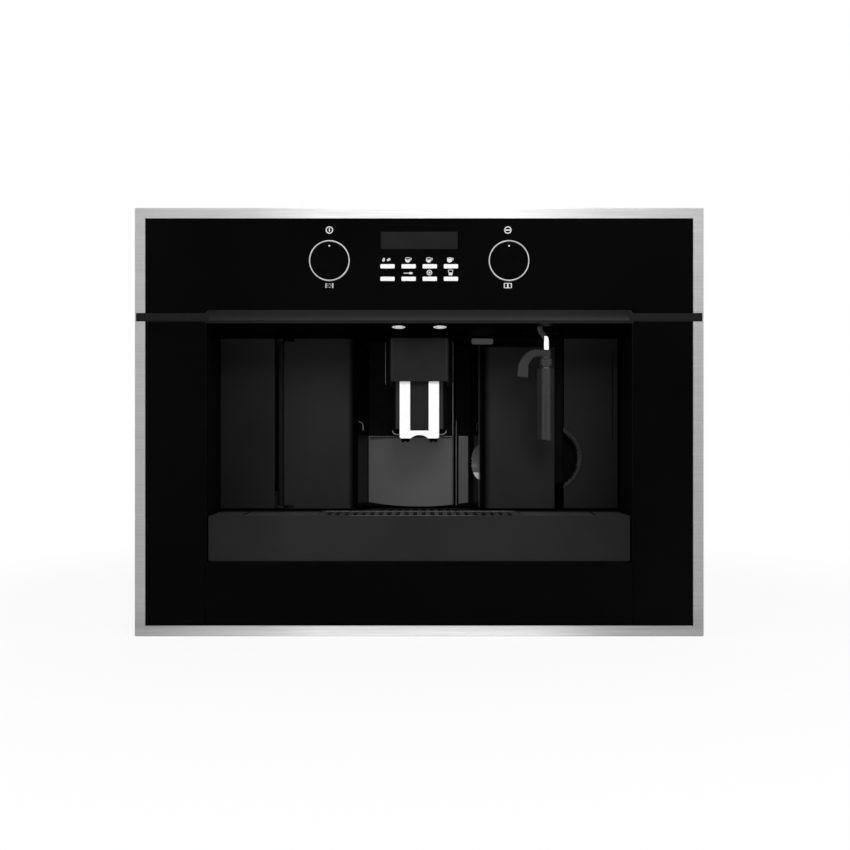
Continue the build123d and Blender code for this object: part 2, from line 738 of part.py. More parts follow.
# Steam wand: socket above the ceiling, ball and bent tube, collar with grip, turning ring, sleeve
socket_front = socket_y - socket_length / 2
socket_back = socket_y + socket_length / 2
with BuildPart() as wand_socket:
    with BuildSketch(Plane.XY.offset(ball_z - 5)):
        with Locations((wand_root_x + 3, socket_y)):
            RectangleRounded(44, socket_length, 5)
    extrude(amount=21)
    with BuildSketch(Plane.YZ.offset(wand_root_x - 19)):
        with BuildLine():
            Polyline(
                (socket_front, ball_z - 4.9),
                (socket_back, ball_z - 4.9),
                (socket_back, ceiling(socket_back) + liner_lip + 0.1),
                (socket_front, ceiling(socket_front) + liner_lip + 0.1),
                close=True,
            )
        make_face()
    extrude(amount=44)
    with BuildSketch(Plane.XY.offset(niche_high - 20)):
        with Locations((wand_root_x + 3, socket_y)):
            RectangleRounded(40, socket_length - 4, 4)
    extrude(amount=ball_z - 5 - niche_high + 20, mode=Mode.SUBTRACT)
    with Locations((wand_root_x, wand_y, ball_z)):
        Sphere(ball_radius + 0.3, mode=Mode.SUBTRACT)
        Cylinder(wand_radius + 5.0, 30, align=(Align.CENTER, Align.CENTER, Align.MAX), mode=Mode.SUBTRACT)

with BuildPart() as wand_tube:
    with Locations((wand_root_x, wand_y, ball_z)):
        Sphere(ball_radius)
    with BuildLine() as wand_path:
        l1 = Line((wand_root_x, wand_y, ball_z), (wand_root_x, wand_y, niche_high - 2.6))
        l2 = Spline(l1 @ 1, (wand_x, wand_y, niche_high - 18.6), tangents=[(0, 0, -1), (0, 0, -1)])
        Line(l2 @ 1, (wand_x, wand_y, wand_low + 2))
    with BuildSketch(Plane(wand_path.line @ 0, x_dir=(1, 0, 0), z_dir=wand_path.line % 0)):
        Circle(wand_radius)
    sweep()
    with Locations((wand_x, wand_y, wand_low + 1)):
        Cylinder(1.2, 20, align=(Align.CENTER, Align.CENTER, Align.MIN), mode=Mode.SUBTRACT)

with BuildPart() as wand_grip:
    with BuildLine() as grip_path:
        Spline(
            (wand_x, wand_y, collar_high - 4.2),
            (wand_x - 15.6, wand_y, collar_high - 4.8),
            (wand_x - 23.3, wand_y, collar_high - 13.6),
            (wand_x - 25.5, wand_y, collar_high - 29.4),
            tangents=[(-1, 0, 0), (-0.1, 0, -1)],
        )
    with BuildSketch(Plane(grip_path.line @ 0, x_dir=(0, 1, 0), z_dir=grip_path.line % 0)):
        RectangleRounded(10.5, 8.0, 2.6)
    with BuildSketch(Plane(grip_path.line @ 1, x_dir=(0, 1, 0), z_dir=grip_path.line % 1)):
        RectangleRounded(9.5, 12.2, 2.6)
    sweep(multisection=True)
    with BuildSketch(Plane.XY.offset(ring_high + 0.2)):
        with Locations((wand_x, wand_y)):
            Circle(5.5)
    extrude(amount=collar_high - ring_high - 0.2)
    with BuildSketch(Plane.XY.offset(ring_high - 2)):
        with Locations((wand_x, wand_y)):
            Circle(wand_radius + 0.01)
    extrude(amount=20, mode=Mode.SUBTRACT)

with BuildPart() as selector_ring:
    with BuildSketch(Plane.XZ.offset(-wand_y)):
        with BuildLine():
            Polyline(
                (wand_x + wand_radius + 0.35, sleeve_high + 0.2),
                (wand_x + 6.0, sleeve_high + 0.2),
                (wand_x + 6.75, sleeve_high + 1.4),
                (wand_x + 6.75, ring_high - 1.2),
                (wand_x + 6.0, ring_high),
                (wand_x + wand_radius + 0.35, ring_high),
                close=True,
            )
        make_face()
    revolve(axis=Axis((wand_x, wand_y, 0), (0, 0, 1)))
    with Locations((wand_x, wand_y - 6.2, (sleeve_high + ring_high) / 2)):
        Cylinder(1.4, 2.4, rotation=(90, 0, 0))

with BuildPart() as wand_sleeve:
    with BuildSketch(Plane.XY.offset(wand_low)):
        with Locations((wand_x, wand_y)):
            Circle(5.95)
        with Locations((wand_x - 6, wand_y + 2), (wand_x + 5.1, wand_y + 2)):
            RectangleRounded(7, 4.4, 1.2)
    extrude(amount=sleeve_high - wand_low)
    fillet(wand_sleeve.edges().group_by(Axis.Z)[-1], 0.6)
    with BuildSketch(Plane.XZ.offset(-wand_y + 10)):
        with BuildLine():
            Polyline(
                (wand_x - 12, wand_low - 1),
                (wand_x + 10, wand_low - 1),
                (wand_x + 10, wand_low + 0.2),
                (wand_x - 12, wand_low + 3.6),
                close=True,
            )
        make_face()
    extrude(amount=-20, mode=Mode.SUBTRACT)
    with BuildSketch(Plane.XY.offset(wand_low - 2)):
        with Locations((wand_x, wand_y)):
            Circle(wand_radius + 0.01)
    extrude(amount=sleeve_high, mode=Mode.SUBTRACT)

# Body: one bent sheet, closed above and behind
with BuildPart() as housing_shell:
    with BuildSketch(Plane.XZ):
        with Locations((0, body_low)):
            RectangleRounded(2 * body_half, body_high, 4, align=(Align.CENTER, Align.MIN))
        with Locations((0, body_low + sheet)):
            RectangleRounded(
                2 * (body_half - sheet), body_high, 2.8, align=(Align.CENTER, Align.MIN), mode=Mode.SUBTRACT
            )
        with Locations((0, body_high - sheet)):
            Rectangle(2 * body_half, body_high, align=(Align.CENTER, Align.MIN), mode=Mode.SUBTRACT)
    extrude(amount=-(body_depth - sheet))
    with BuildSketch(Plane.YZ.offset(-body_half - 5)):
        with Locations((250, body_high - 105)):
            with GridLocations(14, 60, 12, 2):
                Rectangle(4, 44)
    extrude(amount=2 * body_half + 10, mode=Mode.SUBTRACT)

lid_base = body_high + 0.8
hopper_lid_y = hopper_y + hopper_length / 2 + 11.2
lid_pin_z = lid_base + 1.9
with BuildPart() as top_cover:
    with BuildSketch(Plane.XY.offset(body_high - sheet)):
        Rectangle(2 * body_half, body_depth - sheet, align=(Align.CENTER, Align.MIN))
        with Locations((hopper_x, hopper_y)):
            RectangleRounded(hopper_width + 0.6, hopper_length + 0.6, 12.3, mode=Mode.SUBTRACT)
        with Locations((dial_x, dial_y)):
            Circle(4.5, mode=Mode.SUBTRACT)
        with Locations((body_half - 75, 200)):
            with GridLocations(1, 14, 1, 10):
                Rectangle(60, 4, mode=Mode.SUBTRACT)
    extrude(amount=sheet)
    with BuildSketch(Plane.XY.offset(body_high)):
        with Locations((hopper_x, hopper_lid_y)):
            with GridLocations(66, 1, 2, 1):
                RectangleRounded(4, 4.4, 0.6)
    extrude(amount=lid_pin_z + 2.2 - body_high)
    with Locations((hopper_x, hopper_lid_y, lid_pin_z)):
        Cylinder(1.15, 80, rotation=(0, 90, 0), mode=Mode.SUBTRACT)

inlet_x = 65.0 - body_half
inlet_z = 62.0
with BuildPart() as rear_cover:
    with BuildSketch(Plane.XZ.offset(-(body_depth - sheet))):
        with Locations((0, body_low)):
            Rectangle(2 * body_half, body_high - body_low, align=(Align.CENTER, Align.MIN))
        with Locations((inlet_x, inlet_z)):
            Rectangle(28, 20.5, mode=Mode.SUBTRACT)
        with Locations((60, body_high - 135)):
            with GridLocations(70, 13, 4, 9):
                Rectangle(54, 4, mode=Mode.SUBTRACT)
    extrude(amount=-sheet)

# Mains inlet with three blades in a recess
with BuildPart() as power_inlet:
    with BuildSketch(Plane.XZ.offset(-(body_depth - sheet - 18))):
        with Locations((inlet_x, inlet_z)):
            Rectangle(27.4, 19.9)
    extrude(amount=-19.2)
    with BuildSketch(Plane.XZ.offset(-(body_depth - sheet - 3))):
        with Locations((inlet_x, inlet_z)):
            Rectangle(44, 24)
    extrude(amount=-3)
    with BuildSketch(Plane.XZ.offset(-(body_depth - 16))):
        with Locations((inlet_x, inlet_z)):
            Rectangle(23.5, 16)
            with Locations((-6, -3), (0, 3), (6, -3)):
                Rectangle(2, 4, mode=Mode.SUBTRACT)
    extrude(amount=-18, mode=Mode.SUBTRACT)

# Chassis: a deck on two side walls, a table for the grounds container and a walled shelf for the tank
chassis_front = well_back + 4
chassis_back = body_depth - 24
shelf_top = tray_high + 3.6
grounds_width = left_panel_edge - 87.3
grounds_x = -75.0 - grounds_width / 2
with BuildPart() as chassis:
    with BuildSketch(Plane.XZ.offset(-chassis_front)):
        with BuildLine():
            Polyline(
                (-body_half + 20, body_low + sheet),
                (-body_half + 22.5, body_low + sheet),
                (-body_half + 22.5, chassis_top - 4),
                (body_half - 22.5, chassis_top - 4),
                (body_half - 22.5, body_low + sheet),
                (body_half - 20, body_low + sheet),
                (body_half - 20, chassis_top),
                (-body_half + 20, chassis_top),
                close=True,
            )
        make_face()
    extrude(amount=-(chassis_back - chassis_front))
    with BuildSketch(Plane.XY.offset(tray_high + 1.2)):
        with Locations((grounds_x, liner_back + 2.5)):
            Rectangle(grounds_width + 7, 172.5, align=(Align.CENTER, Align.MIN))
    extrude(amount=shelf_top - tray_high - 1.2)
    with BuildSketch(Plane.XY.offset(chassis_top)):
        with Locations((grounds_x, chassis_front)):
            with GridLocations(grounds_width + 4.5, 1, 2, 1):
                Rectangle(2.5, 120, align=(Align.CENTER, Align.MIN))
    extrude(amount=tray_high + 1.2 - chassis_top)
    with BuildSketch(Plane.XZ.offset(-(panel_y + 12.5))):
        with BuildLine():
            Polyline(
                (tank_panel_edge, tray_high + 1.2),
                (niche_half, tray_high + 1.2),
                (niche_half, tray_high + 40),
                (niche_half - 1.2, tray_high + 40),
                (niche_half - 1.2, tank_low - 0.2),
                (tank_panel_edge, tank_low - 0.2),
                close=True,
            )
        make_face()
    extrude(amount=-(tank_back + 5 - panel_y - 12.5))
    with BuildSketch(Plane.XY.offset(chassis_top)):
        with Locations((tank_x, chassis_front)):
            with GridLocations(54, 1, 2, 1):
                Rectangle(2.5, 234, align=(Align.CENTER, Align.MIN))
    extrude(amount=tray_high + 1.2 - chassis_top)

with BuildPart() as grounds_container:
    with BuildSketch(Plane.XY.offset(shelf_top)):
        with Locations((grounds_x, 134)):
            RectangleRounded(grounds_width, 138, 10)
    extrude(amount=hopper_floor - 132.4 - shelf_top)
    offset(amount=-2, openings=grounds_container.faces().sort_by(Axis.Z)[-1])

# Brew unit: foot, tilted gear case, chamber and funnel
brew_x = -12.0
brew_y = 185.0
with BuildPart() as brew_unit:
    with BuildSketch(Plane.XY.offset(chassis_top)):
        with Locations((brew_x, brew_y)):
            RectangleRounded(88, 96, 10)
    extrude(amount=70, taper=3)
    with BuildSketch(Plane.XY.offset(chassis_top + 60)):
        with Locations((brew_x, brew_y)):
            Circle(30)
    extrude(amount=120)
    with BuildSketch(Plane.XY.offset(chassis_top + 170)):
        with Locations((brew_x + 4, brew_y)):
            RectangleRounded(78, 70, 8)
    extrude(amount=12)
    with BuildSketch(Plane.XY.offset(chassis_top + 182)):
        with Locations((chute_x, chute_y)):
            Circle(14)
    with BuildSketch(Plane.XY.offset(hopper_floor - 80)):
        with Locations((chute_x, chute_y)):
            Circle(24)
    loft()
    with BuildSketch(Plane.XY.offset(hopper_floor - 80)):
        with Locations((chute_x, chute_y)):
            Circle(21)
    with BuildSketch(Plane.XY.offset(chassis_top + 190)):
        with Locations((chute_x, chute_y)):
            Circle(10)
    loft(mode=Mode.SUBTRACT)

# Grinder under the hopper
with BuildPart() as grinder:
    with BuildSketch(Plane.XY.offset(hopper_floor - 62)):
        with Locations((hopper_x, hopper_y)):
            Circle(40)
    extrude(amount=62)
    fillet(grinder.edges().group_by(Axis.Z)[0], 5)
    with BuildSketch(Plane.XY.offset(hopper_floor - 116)):
        with Locations((hopper_x, hopper_y)):
            Circle(29)
    extrude(amount=56)
    with BuildSketch(Plane.XY.offset(hopper_floor - 40)):
        with Locations((hopper_x, hopper_y)):
            Circle(16)
    extrude(amount=40, mode=Mode.SUBTRACT)
    with BuildSketch(Plane.XY.offset(hopper_floor - 40)):
        with Locations((hopper_x + 46, hopper_y - 8)):
            RectangleRounded(30, 26, 4)
    extrude(amount=18)

# Bean hopper: a rounded rectangle drawn down to a round throat
with BuildPart() as bean_hopper:
    with BuildSketch(Plane.XY.offset(body_high + 0.6)):
        with Locations((hopper_x, hopper_y)):
            RectangleRounded(hopper_width, hopper_length, 12)
    with BuildSketch(Plane.XY.offset(hopper_floor)):
        with Locations((hopper_x, hopper_y)):
            RectangleRounded(72, 72, 34)
    loft()
    with BuildSketch(Plane.XY.offset(body_high + 0.6)):
        with Locations((hopper_x, hopper_y)):
            RectangleRounded(hopper_width - 6, hopper_length - 6, 10)
    with BuildSketch(Plane.XY.offset(hopper_floor + 3)):
        with Locations((hopper_x, hopper_y)):
            RectangleRounded(62, 62, 29)
    loft(mode=Mode.SUBTRACT)
    with BuildSketch(Plane.XY.offset(hopper_floor)):
        with Locations((hopper_x, hopper_y)):
            Circle(14)
    extrude(amount=6, mode=Mode.SUBTRACT)
    with BuildSketch(Plane.XY.offset(body_high)):
        with Locations((hopper_x, hopper_y)):
            RectangleRounded(hopper_width + 8, hopper_length + 8, 15)
            RectangleRounded(hopper_width - 6, hopper_length - 6, 10, mode=Mode.SUBTRACT)
    extrude(amount=0.6)

# Hopper lid, turning about a barrel with two pins at its back edge
with BuildPart() as hopper_lid:
    with BuildSketch(Plane.XY.offset(lid_base)):
        with Locations((hopper_x, hopper_y + 1)):
            RectangleRounded(hopper_width + 12, hopper_length + 12, 14)
    extrude(amount=2.4)
    fillet(hopper_lid.edges().group_by(Axis.Z)[-1], 1.0)
    with BuildSketch(Plane.XY.offset(lid_base - 4)):
        with Locations((hopper_x, hopper_y)):
            RectangleRounded(hopper_width - 16, hopper_length - 16, 9)
            RectangleRounded(hopper_width - 20, hopper_length - 20, 7, mode=Mode.SUBTRACT)
    extrude(amount=4)
    with BuildSketch(Plane.XY.offset(lid_base)):
        with Locations((hopper_x, hopper_lid_y)):
            Rectangle(60, 6, align=(Align.CENTER, Align.MAX))
    extrude(amount=2.4)
    with Locations((hopper_x, hopper_lid_y, lid_pin_z)):
        Cylinder(2.2, 60, rotation=(0, 90, 0))
        Cylinder(0.8, 68, rotation=(0, 90, 0))

# Grind dial: ribbed cap on a shaft
with BuildPart() as grind_dial:
    with BuildSketch(Plane.XY.offset(body_high + 0.3)):
        with Locations((dial_x, dial_y)):
            Circle(14)
            with PolarLocations(14, 12):
                Circle(1.4, mode=Mode.SUBTRACT)
    extrude(amount=6)
    with BuildSketch(Plane.XY.offset(body_high - 12)):
        with Locations((dial_x, dial_y)):
            Circle(4)
    extrude(amount=13)

# Boiler, pump, power board
boiler_x = (tank_panel_edge + brew_x) / 2 + 20.8
boiler_y = 200.0
with BuildPart() as boiler:
    with BuildSketch(Plane.XZ.offset(-boiler_y)):
        with BuildLine():
            Polyline((boiler_x, 80), (boiler_x + 26, 80))
            ThreePointArc((boiler_x + 26, 80), (boiler_x + 34, 84), (boiler_x + 36, 94))
            Line((boiler_x + 36, 94), (boiler_x + 36, 226))
            ThreePointArc((boiler_x + 36, 226), (boiler_x + 34, 236), (boiler_x + 26, 240))
            Polyline((boiler_x + 26, 240), (boiler_x + 8, 240), (boiler_x + 8, 252), (boiler_x, 252), (boiler_x, 80))
        make_face()
    revolve(axis=Axis((boiler_x, boiler_y, 0), (0, 0, 1)))
    with BuildSketch(Plane.XY.offset(chassis_top)):
        with Locations((boiler_x, boiler_y)):
            with PolarLocations(24, 3):
                Circle(5)
    extrude(amount=14)

with BuildPart() as pump:
    with BuildSketch(Plane.XZ.offset(-270)):
        with Locations((boiler_x, 100)):
            Circle(22)
    extrude(amount=-60)
    with BuildSketch(Plane.XZ.offset(-262)):
        with Locations((boiler_x, 100)):
            Circle(7)
    extrude(amount=-76)
    with BuildSketch(Plane.XY.offset(chassis_top)):
        with Locations((boiler_x, 300)):
            Rectangle(40, 44)
    extrude(amount=26)

with BuildPart() as power_board:
    with BuildSketch(Plane.YZ.offset(-body_half + sheet)):
        with Locations((270, 190)):
            with GridLocations(160, 150, 2, 2):
                Circle(4)
    extrude(amount=12)
    with BuildSketch(Plane.YZ.offset(-body_half + sheet + 12)):
        with Locations((270, 190)):
            Rectangle(180, 170)
    extrude(amount=1.6)
    with BuildSketch(Plane.YZ.offset(-body_half + sheet + 13.6)):
        with Locations((230, 150)):
            Rectangle(54, 46)
        with Locations((300, 150), (322, 150)):
            Circle(9)
    extrude(amount=30)

# Telescopic runners on both sides: outer on the cabinet, middle, inner on the body
with BuildPart() as rail_outer:
    with BuildSketch(Plane.XZ.offset(-rail_start)):
        with BuildLine():
            Polyline(
                (rail_x, rail_z - rail_half),
                (rail_x, rail_z + rail_half),
                (rail_x - 12.5, rail_z + rail_half),
                (rail_x - 12.5, rail_z + rail_half - rail_wall),
                (rail_x - rail_wall, rail_z + rail_half - rail_wall),
                (rail_x - rail_wall, rail_z - rail_half + rail_wall),
                (rail_x - 12.5, rail_z - rail_half + rail_wall),
                (rail_x - 12.5, rail_z - rail_half),
                close=True,
            )
        make_face()
        mirror(about=Plane.YZ)
    extrude(amount=-rail_length)
    with BuildSketch(Plane.YZ):
        with Locations((rail_start + rail_length / 2, rail_z)):
            with GridLocations(256, 1, 2, 1):
                Circle(2.4)
    extrude(amount=rail_x + 5, both=True, mode=Mode.SUBTRACT)

middle_half = rail_half - rail_wall - rail_gap
with BuildPart() as rail_middle:
    with BuildSketch(Plane.XZ.offset(-rail_start)):
        with BuildLine():
            Polyline(
                (rail_x - 2.0, rail_z + middle_half),
                (rail_x - 11.5, rail_z + middle_half),
                (rail_x - 11.5, rail_z + middle_half - rail_wall),
                (rail_x - 7.6, rail_z + middle_half - rail_wall),
                (rail_x - 7.6, rail_z - middle_half + rail_wall),
                (rail_x - 11.5, rail_z - middle_half + rail_wall),
                (rail_x - 11.5, rail_z - middle_half),
                (rail_x - 2.0, rail_z - middle_half),
                (rail_x - 2.0, rail_z - middle_half + rail_wall),
                (rail_x - 6.4, rail_z - middle_half + rail_wall),
                (rail_x - 6.4, rail_z + middle_half - rail_wall),
                (rail_x - 2.0, rail_z + middle_half - rail_wall),
                close=True,
            )
        make_face()
        mirror(about=Plane.YZ)
    extrude(amount=-rail_length)

slider_half = middle_half - rail_wall - rail_gap
with BuildPart() as rail_inner:
    with BuildSketch(Plane.XZ.offset(-rail_start)):
        with BuildLine():
            Polyline(
                (body_half, rail_z - slider_half),
                (body_half, rail_z + slider_half),
                (rail_x - 8.2, rail_z + slider_half),
                (rail_x - 8.2, rail_z + slider_half - rail_wall),
                (body_half + rail_wall, rail_z + slider_half - rail_wall),
                (body_half + rail_wall, rail_z - slider_half + rail_wall),
                (rail_x - 8.2, rail_z - slider_half + rail_wall),
                (rail_x - 8.2, rail_z - slider_half),
                close=True,
            )
        make_face()
        mirror(about=Plane.YZ)
    extrude(amount=-rail_length)

pieces = {
    "front_frame": front_frame,
    "handle_band": handle_band,
    "control_glass": control_glass,
    "side_glass": side_glass,
    "lower_glass": lower_glass,
    "front_carrier": front_carrier,
    **knobs,
    **bars,
    "control_board": control_board,
    "display_window": display_window,
    "niche_liner": niche_liner,
    "lamps": lamps,
    "left_outer_panel": left_outer_panel,
    "right_inner_panel": right_inner_panel,
    "door_catch": door_catch,
    "bay_right": bay_right,
    **guards,
    "door_panel": door_panel,
    "door_bay": door_bay,
    "hinge_brackets": hinge_brackets,
    "spout_housing": spout_housing,
    "spout_column": spout_column,
    "spout_body": spout_body,
    "spout_trim": spout_trim,
    "drip_tray": drip_tray,
    "cup_grid": cup_grid,
    "tank_front": tank_front,
    "water_tank": water_tank,
    "tank_lid": tank_lid,
    "wand_socket": wand_socket,
    "wand_tube": wand_tube,
    "wand_grip": wand_grip,
    "selector_ring": selector_ring,
    "wand_sleeve": wand_sleeve,
    "housing_shell": housing_shell,
    "top_cover": top_cover,
    "rear_cover": rear_cover,
    "power_inlet": power_inlet,
    "chassis": chassis,
    "grounds_container": grounds_container,
    "brew_unit": brew_unit,
    "grinder": grinder,
    "bean_hopper": bean_hopper,
    "hopper_lid": hopper_lid,
    "grind_dial": grind_dial,
    "boiler": boiler,
    "pump": pump,
    "power_board": power_board,
    "rail_outer": rail_outer,
    "rail_middle": rail_middle,
    "rail_inner": rail_inner,
}
for name, piece in pieces.items():
    piece.part.label = name
    export_step(piece.part, f"parts/{name}.step")
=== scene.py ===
import math

import bmesh
import bpy
from mathutils import Matrix, Vector


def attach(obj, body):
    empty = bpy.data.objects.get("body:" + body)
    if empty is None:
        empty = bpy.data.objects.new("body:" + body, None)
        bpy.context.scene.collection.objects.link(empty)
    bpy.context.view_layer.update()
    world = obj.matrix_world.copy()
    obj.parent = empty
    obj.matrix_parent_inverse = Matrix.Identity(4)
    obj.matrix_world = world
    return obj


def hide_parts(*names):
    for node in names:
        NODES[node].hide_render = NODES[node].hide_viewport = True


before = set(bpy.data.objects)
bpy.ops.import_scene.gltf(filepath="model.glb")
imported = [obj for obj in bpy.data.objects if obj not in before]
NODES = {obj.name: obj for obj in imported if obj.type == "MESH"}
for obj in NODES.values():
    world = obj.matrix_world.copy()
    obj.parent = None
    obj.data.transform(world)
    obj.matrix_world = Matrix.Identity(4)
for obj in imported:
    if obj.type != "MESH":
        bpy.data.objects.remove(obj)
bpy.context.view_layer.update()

MM = 0.001

# ---------------------------------------- places on the machine, in millimetres
# X runs to the right, Y into the cabinet and Z up, as in the frame
FRONT_Y = -20.0
GLASS_Y = -19.4
NICHE_HALF = 222.8
NICHE_HIGH = 329.6
KNOB_X = 93.9
KNOB_Z = 392.8
KNOB_FRONT = -20.9
BUTTON_COUNT = 8
BUTTON_PITCH = 22.1
BUTTON_ROWS = (386.8, 373.7)
PANEL_FACE = 55.0
BAY_FACE = 95.0
BAY_EDGE = 68.6
DOOR_EDGE = 38.5
FIXED_EDGE = 41.5
GUARD_FACE = 87.5
GUARD_LOW = 129.5
GUARD_HIGH = 209.4
SPOUT_FOOT = 206.4
OUTLET_X = 15.2
OUTLET_Y = 26.0
WAND_X = 136.8
WAND_Y = 20.0
TRAY_FRONT = -17.0
TRAY_HIGH = 126.0
GRID_HIGH = 125.4
BODY_HALF = 265.0
BODY_HIGH = 435.0


# ---------------------------------------- shader nodes
NOISE_SPAN = (0.25, 0.75)
TONE_STOPS = (0.3, 0.7)
TONE_DETAIL = 3.0
RELIEF_DETAIL = 2.0


def feed(tree, socket, value):
    """Gives a socket what another node puts out, or a plain value."""
    if isinstance(value, bpy.types.NodeSocket):
        tree.links.new(value, socket)
    else:
        socket.default_value = value


def add_node(tree, kind, inputs=None, **settings):
    """A node with its settings, and its inputs by name or by number."""
    node = tree.nodes.new(kind)
    for key, value in settings.items():
        setattr(node, key, value)
    for key, value in (inputs or {}).items():
        feed(tree, node.inputs[key], value)
    return node


def empty_tree(owner):
    """The cleared node tree of a material or a world."""
    owner.use_nodes = True
    owner.node_tree.nodes.clear()
    return owner.node_tree


def arithmetic(tree, operation, *values):
    return add_node(tree, "ShaderNodeMath", dict(enumerate(values)), operation=operation).outputs[0]


def map_range(tree, value, from_min, from_max, to_min=0.0, to_max=1.0, **settings):
    inputs = {"Value": value, "From Min": from_min, "From Max": from_max, "To Min": to_min, "To Max": to_max}
    return add_node(tree, "ShaderNodeMapRange", inputs, **settings).outputs["Result"]


def object_place(tree):
    return add_node(tree, "ShaderNodeTexCoord").outputs["Object"]


def noise(tree, grain, size, detail):
    """Noise whose grain is stretched along X, Y and Z."""
    mapping = add_node(tree, "ShaderNodeMapping", {"Vector": object_place(tree), "Scale": grain})
    inputs = {"Vector": mapping.outputs["Vector"], "Scale": size, "Detail": detail, "Roughness": 0.5}
    return add_node(tree, "ShaderNodeTexNoise", inputs).outputs["Fac"]


def two_tones(tree, pattern, dark, light):
    """The dark tone where the pattern is low, the light one where it is high."""
    node = add_node(tree, "ShaderNodeValToRGB", {"Fac": pattern})
    for element, position, colour in zip(node.color_ramp.elements, TONE_STOPS, (dark, light)):
        element.position = position
        element.color = colour
    return node.outputs["Color"]


def share_along(tree, axis, stops, below=None):
    """A share of light that changes along one axis of the object; stops are (millimetres, share).

    With below, a pair of heights, the share holds under the first and is gone above the second.
    """
    split = add_node(tree, "ShaderNodeSeparateXYZ", {0: object_place(tree)}).outputs
    low, high = stops[0][0], stops[-1][0]
    span = map_range(tree, split[axis], low * MM, high * MM)
    shade = add_node(tree, "ShaderNodeValToRGB", {"Fac": span})
    elements = shade.color_ramp.elements
    while len(elements) < len(stops):
        elements.new(0.5)
    for element, (place, share) in zip(elements, stops):
        element.position = (place - low) / (high - low)
        element.color = (share, share, share, 1)
    if not below:
        return shade.outputs["Color"]
    mask = map_range(tree, split[UP], below[0] * MM, below[1] * MM, 1.0, 0.0)
    loss = arithmetic(tree, "SUBTRACT", shade.outputs["Color"], 1.0)
    return arithmetic(tree, "MULTIPLY_ADD", loss, mask, 1.0)


def seen_straight(tree):
    """1 for what the camera, a mirror or a clear pane sees, 0 for the rays that light the object."""
    rays = add_node(tree, "ShaderNodeLightPath").outputs
    mirrored = arithmetic(tree, "MAXIMUM", rays["Is Camera Ray"], rays["Is Glossy Ray"])
    return arithmetic(tree, "MAXIMUM", mirrored, rays["Is Transmission Ray"])


# ---------------------------------------- kinds of finish
EVEN = (1, 1, 1)


def tone(value):
    """A grey from its display value of 0 to 255, as the linear light it stands for."""
    share = value / 255
    level = share / 12.92 if share <= 0.04045 else ((share + 0.055) / 1.055) ** 2.4
    return (level, level, level, 1.0)


def surface(
    name,
    dark,
    light,
    rough,
    metal=0.0,
    grain=EVEN,
    size=40.0,
    bump=0.0,
    bump_size=900.0,
    bump_grain=EVEN,
    specular=0.5,
    glow=0.0,
    see_through=0.0,
    fades=(),
    fade_gloss=False,
):
    """A mottled or brushed colour between two tones, a roughness that varies, and fine relief.

    Each of the fades dims or lifts the colour along an axis, as painted light and shade. With fade_gloss the
    last one also dims the gloss.
    """
    material = bpy.data.materials.new(name)
    tree = empty_tree(material)
    pattern = noise(tree, grain, size, TONE_DETAIL)
    colour = two_tones(tree, pattern, dark, light)
    for fade in fades:
        share = share_along(tree, *fade)
        product = add_node(tree, "ShaderNodeVectorMath", {0: colour, 1: share}, operation="MULTIPLY")
        colour = product.outputs["Vector"]
    inputs = {
        "Base Color": colour,
        "Roughness": map_range(tree, pattern, *NOISE_SPAN, *rough),
        "Metallic": metal,
        "IOR": 1.5,
        "Specular IOR Level": arithmetic(tree, "MULTIPLY", share, specular) if fade_gloss else specular,
        "Transmission Weight": see_through,
    }
    # With glow the surface gives light in its own colour: painted light on all but the lamps and diodes.
    if glow:
        inputs.update({"Emission Color": colour, "Emission Strength": glow})
    if bump:
        height = noise(tree, bump_grain, bump_size, RELIEF_DETAIL)
        relief = add_node(tree, "ShaderNodeBump", {"Height": height, "Strength": 1.0, "Distance": bump * MM})
        inputs["Normal"] = relief.outputs["Normal"]
    shader = add_node(tree, "ShaderNodeBsdfPrincipled", inputs)
    add_node(tree, "ShaderNodeOutputMaterial", {"Surface": shader.outputs["BSDF"]})
    return material


def greys(name, low, high, rough, **more):
    return surface(name, tone(low), tone(high), rough, **more)


def soft_black(name, value, rough, gap=0.18, **more):
    """A plastic or a pane whose tones lie a share of gap below and above one value."""
    return greys(name, value * (1 - gap), value * (1 + gap), rough, **more)


def satin(name, value, **more):
    return soft_black(name, value, (0.4, 0.5), gap=0.04, specular=0.18, **more)


def edge_light(name, value):
    return soft_black(name, value, (0.3, 0.4), gap=0.06, specular=0.4)


# Bright steel that gives light of its own: painted light.
def bright_metal(name, glow):
    return greys(name, 248, 255, (0.24, 0.32), metal=0.1, size=60, glow=glow)


# ---------------------------------------- broad shading that the photo has on the front
ACROSS, DEEP, UP = range(3)
# Painted light and shade on the steel: darker towards both sides and the bottom edge, a little lighter low on
# the frame.
STEEL_FOOT = (11.5, 30)
STEEL_FADES = (
    (
        ACROSS,
        [(-297, 0.52), (-170, 0.68), (-108, 0.96), (-60, 1), (95, 1), (125, 0.9), (185, 0.68), (297, 0.5)],
    ),
    (UP, [(0, 0.76), (0.9, 0.87), (1.4, 1), (12, 1), (40, 1.08), (200, 1), (448, 1)]),
    (
        ACROSS,
        [
            (-297, 0.75),
            (-271, 0.78),
            (-229, 0.92),
            (-177, 1),
            (137, 1),
            (163, 0.92),
            (189, 0.83),
            (231, 0.73),
            (297, 0.76),
        ],
        STEEL_FOOT,
    ),
)
# Painted shade on the handle band: darker towards its ends and its lower edge.
BAND_FADES = (
    (ACROSS, [(-297, 0.42), (-226, 0.5), (-130, 1), (150, 1), (235, 0.5), (297, 0.42)]),
    (UP, [(326, 0.6), (330.2, 0.62), (331, 0.74), (334.5, 0.8), (340, 1), (345, 1)]),
)
# Painted shade on the tray: darker towards its ends.
TRAY_FADES = ((ACROSS, [(-222, 0.64), (-170, 0.78), (-130, 1), (130, 1), (150, 0.85), (222, 0.6)]),)
